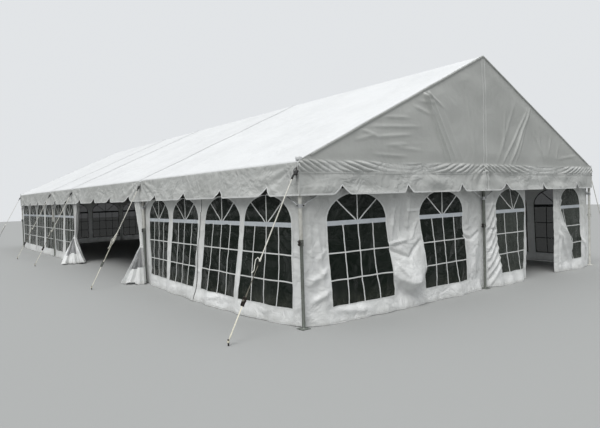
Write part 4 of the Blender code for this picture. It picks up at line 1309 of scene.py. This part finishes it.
def hang_curtain(curtain):
    """The folded sheet with its clear patches, and its tie."""
    turns = np.linspace(-1, 1, LAYER_POINTS)
    layers = np.repeat(np.arange(LAYERS), LAYER_POINTS)
    across = np.concatenate([turns if layer % 2 == 0 else -turns for layer in range(LAYERS)])
    z, columns = np.linspace(HEIGHTS[0], CURTAIN_TOP, CURTAIN_ROWS), len(across)
    grid_z, grid_layer = np.meshgrid(z, layers, indexing="ij")
    points = curtain.place(grid_layer, np.broadcast_to(across, grid_z.shape), grid_z)
    corner = (np.arange(CURTAIN_ROWS - 1)[:, None] * columns + np.arange(columns - 1)).ravel()
    faces = np.stack([corner, corner + 1, corner + columns + 1, corner + columns], axis=1)
    which = [curtain.clear(layers[column], across[column], height)
             for height in z[:-1] for column in range(columns - 1)]
    run = np.linspace(0, DOOR_PANEL, columns)
    flat = np.stack(np.meshgrid(z, run, indexing="ij")[::-1], axis=-1).reshape(-1, 2)
    cloth = mesh_piece(f"{curtain.name}_cloth", points.reshape(-1, 3), faces,
                       [WALL, CREASED_CLEAR], flat, which)
    carried(cloth, "wall_cloth", curtain.name)
    told(cloth)
    angles = np.linspace(0, 2 * math.pi, 24, endpoint=False)
    ways = np.stack([np.cos(angles), np.sin(angles), 0 * angles], axis=1)
    middle = np.array((curtain.at(TIE_Z, curtain.x), curtain.at(TIE_Z, curtain.y), TIE_Z))
    tape(f"{curtain.name}_tie", "wall_cloth", [(middle + ways * TIE_SIZE, ways, True)],
         TIE_WIDTH, TIE_THICKNESS, TAPE)


hang_curtain(Curtain(
    "door_curtain_near", LEG_LINES[1], (0.28, 0.20, 0.062, 0.012, 0.012, 0, 0),
    (0.02, 0.03, 0.06, 0.074, 0.085, 0.17, 0.312), (0.31, 0.22, 0.075), (0.020, 0.018, 0.012),
    (132, 128, 105), (-0.94, 0.80, lambda across: 0.34 - 0.05 * across, 0.81), 2))
hang_curtain(Curtain(
    "door_curtain_far", LEG_LINES[2], (0.19, 0.15, 0.052, 0.012, 0.002, 0, 0),
    (-0.38, -0.27, -0.11, -0.088, -0.10, -0.20, -0.312), (0.38, 0.27, 0.085),
    (0.034, 0.028, 0.014), (156, 150, 110),
    (-0.40, 0.70, lambda across: 0.30 + 0.05 * math.cos(5 * across), 0.80), 5))

# %% [markdown]
# ## Legs
# A leg is two tubes: a thin dark lower one slides in a thick pale upper one, and a
# clamp with a bolt and a wing nut holds them. Round parts are turned from a profile, flat
# ones are boxes with bevelled edges, and bent rods are tubes swept along points. A
# small kit gathers such parts into one mesh with several finishes.

# %% A kit for small parts


class Kit:
    """Gathers parts into one mesh. A part is points, faces, and the finish's number."""

    def __init__(self):
        self.points, self.faces, self.which = [], [], []

    def part(self, points, faces, finish):
        first = len(self.points)
        self.points += [tuple(point) for point in points]
        self.faces += [[first + index for index in face] for face in faces]
        self.which += [finish] * len(faces)

    def sweep(self, points, radius, finish=0, sides=12, closed=False):
        """A round rod along points. radius is one number, or a list with one for each point."""
        points = [Vector(point) for point in points]
        count = len(points)
        radii = radius if isinstance(radius, list) else [radius] * count
        rings, aside = [], None
        for index, point in enumerate(points):
            ahead = points[(index + 1) % count] if closed or index + 1 < count else point
            behind = points[index - 1] if closed or index else point
            axis = (ahead - behind).normalized()
            if aside is None:
                aside = axis.orthogonal().normalized()
            aside = (aside - axis * aside.dot(axis)).normalized()
            other = axis.cross(aside)
            rings.append([point + (aside * math.cos(a) + other * math.sin(a)) * radii[index]
                          for a in (2 * math.pi * side / sides for side in range(sides))])
        faces = []
        for ring in range(count if closed else count - 1):
            low, high = ring * sides, (ring + 1) % count * sides
            faces += [(low + side, low + (side + 1) % sides, high + (side + 1) % sides, high + side)
                      for side in range(sides)]
        if not closed:
            faces += [range(sides)[::-1], range((count - 1) * sides, count * sides)]
        self.part([place for ring in rings for place in ring], faces, finish)

    def rod(self, middle, half, radius, finish, sides):
        """A straight rod that lies along the tent."""
        self.sweep([middle - Y_AXIS * half, middle + Y_AXIS * half], radius, finish, sides)

    def hoop(self, centre, radius, first, second, wire, finish=0, sides=8, count=20):
        """A ring of wire in the plane of two directions."""
        self.sweep([centre + (first * math.cos(a) + second * math.sin(a)) * radius
                    for a in (2 * math.pi * step / count for step in range(count))],
                   wire, finish, sides, closed=True)

    def turned(self, profile, finish, base=(0, 0, 0), sides=24):
        """An upright turned part: profile is (radius, height) from low to high."""
        self.sweep([Vector(base) + UP * height for _, height in profile],
                   [radius for radius, _ in profile], finish, sides)

    def band(self, low, high, inner, outer, finish, **more):
        """A turned band with eased edges."""
        self.turned([(inner, low), (outer, low + 0.002), (outer, high - 0.002), (inner, high)],
                    finish, **more)

    def block(self, centre, size, finish=0, turn=None, bevel=0.002):
        shape = bmesh.new()
        bmesh.ops.create_cube(shape, size=1.0)
        bmesh.ops.scale(shape, vec=Vector(size), verts=shape.verts)
        bmesh.ops.bevel(shape, geom=shape.edges, offset=bevel, segments=2, affect="EDGES",
                        profile=0.5)
        matrix = Matrix.Translation(Vector(centre)) @ (turn or Matrix.Identity(4))
        bmesh.ops.transform(shape, matrix=matrix, verts=shape.verts)
        shape.verts.ensure_lookup_table()
        self.part([vert.co for vert in shape.verts],
                  [[vert.index for vert in face.verts] for face in shape.faces], finish)
        shape.free()

    def moved(self, matrix):
        self.points = [tuple(matrix @ Vector(point)) for point in self.points]
        return self

    def piece(self, name, finishes):
        return mesh_piece(name, self.points, self.faces, finishes, which=self.which, crisp=40)


def to_side(side, x, line):
    """From the left side's own space to a place on a leg line. The right side is turned about."""
    turn = Matrix.Rotation(math.pi if side > 0 else 0, 4, "Z")
    return Matrix.Translation((side * x, line, 0)) @ turn


trial = Kit()
trial.block((0, 0, 0), (1, 1, 1))
print("a box with bevelled edges:", len(trial.faces), "faces")

# %% One leg
UPPER, LOWER, DARK, PLAIN = range(4)        # the finishes' numbers in a leg
SLEEVE_BOTTOM, CLAMP_Z, COLLAR_Z = RAIL_Z - 0.15, 1.25, 1.79
LOWER_RADIUS, CLAMP_HALF, CLAMP_OUT = TUBE_RADIUS - 0.005, 0.047, -0.040
FOOT, LEG_HOLES = 0.15, (0.30, 0.45, 0.60, 0.75, 0.90)
BRACE_REACH, BRACE_RADIUS = 1.20, 0.010
BOLT_RADIUS = 0.005


def bolt(kit, centre, axis, reach):
    """A bolt through a part, with a six-sided head and nut, and two washers."""
    kit.sweep([centre - axis * (reach + 0.004), centre + axis * (reach + 0.010)], BOLT_RADIUS, DARK, 8)
    for way in (-axis, axis):
        face = centre + way * reach
        kit.sweep([face, face + way * 0.002], BOLT_RADIUS * 2.2, DARK, 14)
        kit.sweep([face + way * 0.002, face + way * 0.009], BOLT_RADIUS * 1.75, DARK, 6)


def brace(kit, way):
    """A slanting brace from the collar up to the rail, with its two ends."""
    side = way.cross(UP)
    start = UP * COLLAR_Z + way * (TUBE_RADIUS + 0.010)
    end = way * BRACE_REACH + UP * (RAIL_Z - TUBE_RADIUS - BRACE_RADIUS - GAP)
    kit.sweep([start, start + way * 0.02, start.lerp(end, 0.06), start.lerp(end, 0.97), end],
              [0.006, 0.008, BRACE_RADIUS, BRACE_RADIUS, 0.007], PLAIN, 10)
    kit.block(start + way * 0.004, (0.022, 0.022, 0.034), PLAIN, bevel=0.003)
    bolt(kit, start + way * 0.012, side, 0.014)
    kit.block(end + UP * 0.004, (0.03, 0.03, 0.008), DARK)


def leg_kit(ways):
    """A leg at the origin, with a brace each way."""
    kit = Kit()
    lower, upper, top = LOWER_RADIUS, TUBE_RADIUS, SLEEVE_BOTTOM - GAP
    kit.block((0, 0, 0.004), (FOOT, FOOT, 0.008), LOWER, bevel=0.0015)
    kit.turned([(lower + 0.010, 0.008), (lower + 0.003, 0.013), (lower, 0.017),
                (lower, CLAMP_Z - 0.05)], LOWER)
    kit.turned([(upper - 0.003, CLAMP_Z - 0.045), (upper, CLAMP_Z - 0.043), (upper, top - 0.002),
                (upper - 0.002, top)], UPPER)
    for height in LEG_HOLES:
        kit.sweep([(-lower - 0.0008, 0, height), (-lower + 0.003, 0, height)], 0.007, DARK)

    # The clamp with its two bolts and its wing nut
    kit.band(CLAMP_Z - CLAMP_HALF, CLAMP_Z + CLAMP_HALF, upper + 0.0005, upper + 0.004, LOWER)
    kit.block((CLAMP_OUT, 0, CLAMP_Z), (0.020, 0.030, 0.080), DARK, bevel=0.004)
    for height in (0.022, -0.022):
        bolt(kit, Vector((CLAMP_OUT, 0, CLAMP_Z + height)), Y_AXIS, 0.018)
    kit.sweep([(-0.052, -0.004, CLAMP_Z + 0.03), (-0.062, -0.030, CLAMP_Z + 0.034),
               (-0.060, -0.062, CLAMP_Z + 0.02), (-0.056, -0.085, CLAMP_Z - 0.01)], 0.006, DARK, 8)

    # The collar of the braces, and a band under the sleeve
    kit.band(COLLAR_Z - 0.032, COLLAR_Z + 0.028, upper + 0.001, upper + 0.006, PLAIN)
    kit.band(top - 0.060, top - 0.028, upper + 0.0005, upper + 0.004, PLAIN)
    for way in ways:
        brace(kit, Vector(way))
    return kit


print("a leg with one brace:", len(leg_kit([(1, 0, 0)]).faces), "faces")

# %% Stand the twelve legs
OPEN_BAY = (2, 3)                           # the left legs before and behind it
LAST = len(LEG_LINES)


def brace_ways(number, side):
    """A side leg's braces in its own space, as on the frame: none crosses the open bay."""
    before, behind = OPEN_BAY if side < 0 else (0, 0)
    ways = [(0, side, 0)] if number > 1 and number != behind else []
    if number < LAST and number != before:
        ways.append((0, -side, 0))
    return ways + [(1, 0, 0)] if number in (1, LAST) else ways


def stand_leg(name, node, ways, place, *tubes):
    """tubes are the finishes of the upper and the lower tube."""
    leg = leg_kit(ways).moved(place)
    carried(leg.piece(name, [*tubes, DARK_STEEL, TUBE]), "leg_tube", node)


for word, side in SIDES:
    for number, line in enumerate(LEG_LINES, start=1):
        stand_leg(f"{word}_leg_{number}", f"leg_{word}_{number}", brace_ways(number, side),
                  to_side(side, HALF, line), UPPER_LEG, LOWER_LEG if side < 0 else UPPER_LEG)
for word, line in (("front", FRONT_LINE), ("back", BACK_LINE)):
    stand_leg(f"centre_leg_{word}", f"leg_{word}_center", [(-1, 0, 0), (1, 0, 0)],
              to_side(-1, 0, line), LOWER_LEG, LOWER_LEG)
print("legs:", 2 * LAST + 2)

# %% [markdown]
# ## Guy lines
# Each side leg is held by a guy line. A ring on the frame's lug takes a short dark strap
# and a three-strand rope. The rope ends in a hook and a knot. Two dark strands run down to
# a ratchet, and a flat strap goes on to the stake.

# %% Where a guy line runs
LUG = Vector((-HALF - SKIN - 0.017, 0, RAIL_Z - 0.092))
STAKE_TOP, STAKE_WRAP, GUY_SPREAD = 0.085, 0.030, 1.25
STAKE = Vector((-HALF - GUY_SPREAD, 0, STAKE_TOP - STAKE_WRAP))
DOWN = (STAKE - LUG).normalized()
OUTWARD = Y_AXIS.cross(DOWN)
GUY_TURN = Matrix((OUTWARD, Y_AXIS, -DOWN)).transposed().to_4x4()
HOOK_Z, RATCHET_Z = 1.05, 0.54


def guy_at(height, aside=0.0, out=0.0):
    """A place at a height on the guy line, or beside it along the tent, or out of it."""
    return LUG + DOWN * ((height - LUG.z) / DOWN.z) + Y_AXIS * aside + OUTWARD * out


print("lug to stake:", round((STAKE - LUG).length, 3), "m")

# %% The upper fittings of a guy line
CORD, STEEL, STRAP, DARK_STRAP, BLACK = range(5)    # the finishes' numbers in a guy line
RING_RADIUS, RING_WIRE = 0.034, 0.006
COIL_TOP, COIL_LENGTH, COIL_STEPS, COIL_TURN = 1.22, 0.24, 108, 12
HOOK_BEND = ((0.010, 0.002, 0), (-0.005, 0.012, 0.004), (-0.030, 0.016, 0.006),
             (-0.050, 0.006, 0.006), (-0.048, -0.010, 0.004), (-0.025, -0.014, 0.002))
TAIL = ((0.02, 0, 0.010), (0.045, 0.03, 0.030), (0.01, 0.055, 0.035), (-0.06, 0.050, 0.020),
        (-0.10, 0.020, 0.018), (-0.14, 0.032, 0.030))


def add_coil(kit):
    """Spare rope, wound round the line."""
    coil = []
    for step in range(COIL_STEPS + 1):
        share, angle = step / COIL_STEPS, 2 * math.pi * step / COIL_TURN
        radius = 0.011 + 0.014 * math.sin(math.pi * share) ** 0.7
        coil.append(guy_at(COIL_TOP - COIL_LENGTH * share, radius * math.cos(angle),
                           radius * math.sin(angle)))
    kit.sweep(coil, 0.0075, CORD, 6)


def add_ring(kit, knot_aside):
    """The ring in the lug, and the short dark strap with its knot and its keeper."""
    ring = LUG + DOWN * (RING_RADIUS - (0.008 + GAP + RING_WIRE) / abs(DOWN.z))
    low = ring + DOWN * RING_RADIUS
    kit.hoop(ring, RING_RADIUS, Y_AXIS, DOWN, RING_WIRE, STEEL)
    kit.hoop(low, 0.014, OUTWARD, DOWN, 0.0055, BLACK, count=14)
    kit.block(low + DOWN * 0.014 + Y_AXIS * knot_aside, (0.034, 0.072, 0.080), BLACK, GUY_TURN, 0.012)
    kit.block(low + DOWN * 0.075, (0.014, 0.038, 0.060), BLACK, GUY_TURN, 0.004)
    kit.block(low + DOWN * 0.098, (0.018, 0.040, 0.020), STEEL, GUY_TURN, 0.004)


def add_hook(kit, loose_end):
    """The whipping at the rope's end, the hook, and the rope's loose tail."""
    for turn in range(5):
        kit.hoop(guy_at(HOOK_Z) - DOWN * (0.052 - 0.011 * turn), 0.0095, OUTWARD, Y_AXIS, 0.0048,
                 CORD, 6, 12)
    kit.sweep([guy_at(HOOK_Z + up, aside, out) for up, aside, out in HOOK_BEND], 0.005, STEEL, 8)
    drops = (0, 0, 0, 0, loose_end, loose_end)
    kit.sweep([guy_at(HOOK_Z + up - drop, aside, out) for (up, aside, out), drop in zip(TAIL, drops)],
              [0.006] * 5 + [0.008], CORD, 8)


print("hook", HOOK_Z, "m and ratchet", RATCHET_Z, "m above the floor")

# %% The lower fittings of a guy line


def add_strands(kit):
    """Two dark strands from the hook to the ratchet."""
    top, low = HOOK_Z - 0.045, RATCHET_Z + 0.05
    for aside, sway in ((-0.006, 0.006), (0.007, -0.005)):
        kit.sweep([guy_at(top + (low - top) * share, aside * (0.5 + share),
                          sway * math.sin(share * math.pi)) for share in (0, 0.25, 0.5, 0.75, 1)],
                  0.005, DARK_STRAP, 8)


def add_ratchet(kit):
    """Two cheeks with their wheels, the axle with the strap rolled on it, and the handle."""
    middle = guy_at(RATCHET_Z)
    roll = middle - DOWN * 0.012
    for aside in (-0.021, 0.021):
        kit.block(middle + Y_AXIS * aside, (0.030, 0.003, 0.125), STEEL, GUY_TURN, 0.0012)
        wheel = roll + Y_AXIS * aside * 1.12
        kit.sweep([wheel, wheel + Y_AXIS * aside * 0.15], 0.019, STEEL)
    kit.rod(roll, 0.027, 0.009, STEEL, 12)
    kit.rod(roll, 0.015, 0.016, STRAP, 14)
    handle = [middle + DOWN * 0.055 + OUTWARD * 0.020, middle - DOWN * 0.060 + OUTWARD * 0.024]
    for aside in (-0.017, 0.017):
        kit.sweep([point + Y_AXIS * aside for point in handle], 0.0045, STEEL, 8)
    kit.rod(handle[1], 0.020, 0.009, STEEL, 10)
    for end in (-0.055, 0.055):
        kit.rod(middle + DOWN * end, 0.024, 0.004, STEEL, 8)


def add_stake(kit):
    """The flat strap with its sewn end, the stake, and the strap's turns round it."""
    top, low = guy_at(RATCHET_Z - 0.05), STAKE - DOWN * 0.004
    kit.block((top + low) / 2, (0.004, 0.026, (top - low).length), STRAP, GUY_TURN, 0.001)
    kit.block(guy_at(0.13), (0.009, 0.028, 0.055), STRAP, GUY_TURN)
    kit.turned([(0.0115, 0.0), (0.0115, STAKE_TOP - 0.014), (0.0125, STAKE_TOP - 0.012),
                (0.0125, STAKE_TOP - 0.004), (0.009, STAKE_TOP)], STEEL, (STAKE.x, 0, 0), 16)
    for up in (-0.008, 0.006):
        kit.band(-0.007, 0.007, 0.0150, 0.0172, STRAP, base=STAKE + UP * up, sides=16)


print("stakes", GUY_SPREAD, "m out from the leg lines")

# %% All ten guy lines
COILED = 2                                  # the legs whose guy line carries a coil of rope
ROPE_STRAND, ROPE_LAY = 0.0050, 0.048
rope_ends = guy_at(LUG.z - 0.145), guy_at(HOOK_Z + 0.005)
for word, side in SIDES:
    for number, line in enumerate(LEG_LINES, start=1):
        kit, steel, dark = Kit(), DARK_STEEL, DARK_WEBBING
        if number == COILED:
            add_coil(kit)
            steel, dark = LOWER_LEG, WEBBING
        add_ring(kit, -0.040 if (side, number) == (-1, 1) else 0.0)
        add_hook(kit, 0.02 * (number % 3))
        add_strands(kit)
        add_ratchet(kit)
        add_stake(kit)
        turn = to_side(side, 0, line)
        fittings = kit.moved(turn).piece(f"{word}_guy_{number}_fittings",
                                         [ROPE, steel, WEBBING, dark, BLACK_STRAP])
        rope = grown(f"{word}_guy_{number}_rope", ROPE_TREE,
                     path_mesh([([turn @ end for end in rope_ends], [(0, 1, 0)] * 2, False)]),
                     crisp=80, strands=3, radius=ROPE_STRAND, strand_radius=ROPE_STRAND,
                     pitch=ROPE_LAY, step=0.008, finish=ROPE)
        carried(fittings, "guy_line", f"guy_{word}_{number}")
        carried(rope, "guy_line")
print("rope:", round((rope_ends[0] - rope_ends[1]).length, 3), "m from strap to hook")

# %% [markdown]
# ## Hooks, bolts and the frame's tubes
# The walls hang from the rails by snap hooks, one every foot. The fittings of the frame are
# bolted. The hooks repeat along straight runs, so a third tree sets one small mesh at even
# steps on a path. The tubes and fittings themselves are the frame's own, with a better finish.

# %% A tree that sets pieces along a path


def row_tree():
    tree, given, curve = new_tree("row_on_path", piece="Object", pitch="Float", turn="Vector")
    shape = put(tree, "GeometryNodeObjectInfo", {"Object": given["Piece"]}, "Geometry")
    turned = put(tree, "FunctionNodeEulerToRotation", {0: given["Turn"]})
    placed = put(tree, "GeometryNodeInstanceOnPoints", {
        "Points": evenly(tree, curve, given["Pitch"]), "Instance": shape, "Rotation": turned})
    return close_tree(tree, placed, given["Finish"])


ROW_TREE = row_tree()
print("row tree:", len(ROW_TREE.nodes), "nodes")

# %% Snap hooks on the rails
HOOK_PITCH, HOOK_INSET, HOOK_WIRE = 0.3048, 0.15, 0.0035


def snap_hook():
    """A hook round the rail at the origin, down to an eyelet in the wall's top hem."""
    kit = Kit()
    reach, hem = TUBE_RADIUS + 0.0055, WALL_TOP - RAIL_Z
    kit.hoop(Vector(), reach, Y_AXIS, UP, HOOK_WIRE, sides=6, count=18)
    kit.sweep([(0, 0, -reach), (0, 0.012, -reach - 0.02), (0, 0.030, hem - 0.02)], HOOK_WIRE,
              sides=6)
    kit.hoop(Vector((0, 0.034, hem - 0.028)), 0.011, X_AXIS, UP, 0.003, sides=6, count=12)
    return kit.piece("snap_hook", [TUBE])


# The tree repeats the hook, which isn't part of the tent by itself
hook = snap_hook()
bpy.context.scene.collection.objects.unlink(hook)
for wall, turn in ((left_near, -90), (far_left, -90), (right_side, 90), (front, 0), (corner, 0),
                   (back, 180)):
    line = wall.side * (HALF if wall.along_y else BACK_LINE)
    ends = (wall.start + HOOK_INSET, wall.end - HOOK_INSET)
    path = [(line, end, RAIL_Z) if wall.along_y else (end, line, RAIL_Z) for end in ends]
    row = grown(f"{wall.name}_hooks", ROW_TREE, path_mesh([(path, [(0, 0, 1)] * 2, False)]),
                piece=hook, pitch=HOOK_PITCH, turn=(0, 0, math.radians(turn)), finish=TUBE)
    carried(row, "frame_tube")
bpy.data.objects.remove(hook)
print("hooks every", HOOK_PITCH, "m")

# %% Bolts on the crown and eave fittings
BOLT_ASIDE = 0.058
BOLT_PARTS = ((0.040, 0.0425, 0.012, 14), (0.0425, 0.050, 0.0095, 6))  # from, to, radius, sides

bolts = Kit()
for line in LEG_LINES:
    # A frame at the tent's end has bolts on its inner side alone
    asides = [aside for aside in (-BOLT_ASIDE, BOLT_ASIDE) if FRONT_LINE < line + aside < BACK_LINE]
    for x, z in ((-HALF, RAIL_Z), (0, CROWN_Z), (HALF, RAIL_Z)):
        for y in (line + aside for aside in asides):
            for top, low, radius, sides in BOLT_PARTS:
                bolts.sweep([(x, y, z - top), (x, y, z - low)], radius, sides=sides)
carried(bolts.piece("fitting_bolts", [TUBE]), "frame_tube")
print("bolts:", len(bolts.faces), "faces")

# %% Patches over the four corners of the roof
PATCH_IN, PATCH_UP, PATCH_SIZE = 0.030, 0.062, (0.075, 0.075, 0.050)

patches = Kit()
for side, end in ((-1, -1), (-1, 1), (1, -1), (1, 1)):
    patches.block((side * (HALF + SKIN - PATCH_IN), end * (END - PATCH_IN), RAIL_Z + PATCH_UP),
                  PATCH_SIZE, bevel=0.012)
carried(patches.piece("corner_patches", [ROOF]), "roof_cloth")
print("patches:", len(patches.faces), "faces")

# %% Finish the frame's own tubes
TUBE_NAMES = ("gable_frame", "rafter_frame", "left_eave", "right_eave", "ridge")
tubes = [node for name, node in frame["nodes"].items() if name.startswith(TUBE_NAMES)]
for node in tubes:
    node.data.materials.clear()
    node.data.materials.append(TUBE)
print("tubes kept from the frame:", len(tubes))

# %% [markdown]
# The floor is a plain pale sheet under everything. It is stage and not tent.

# %% Floor
FLOOR_REACH, FLOOR_DROP = 60, 0.002
floor_paint = bpy.data.materials.new("pale_floor")
floor_paint.use_nodes = True
floor_shader = floor_paint.node_tree.nodes["Principled BSDF"]
floor_shader.inputs["Base Color"].default_value = (0.335, 0.34, 0.335, 1)
floor_shader.inputs["Roughness"].default_value = 0.9
floor_corners = [(x * FLOOR_REACH, y * FLOOR_REACH, -FLOOR_DROP)
                 for x, y in ((-1, -1), (1, -1), (1, 1), (-1, 1))]
mesh_piece("floor", floor_corners, [(0, 1, 2, 3)], [floor_paint])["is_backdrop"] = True
print("floor:", 2 * FLOOR_REACH, "m wide")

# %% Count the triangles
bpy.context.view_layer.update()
triangles = sum(len(face.vertices) - 2 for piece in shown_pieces() if piece.type == "MESH"
                for face in piece.data.polygons)
print("triangles:", triangles)
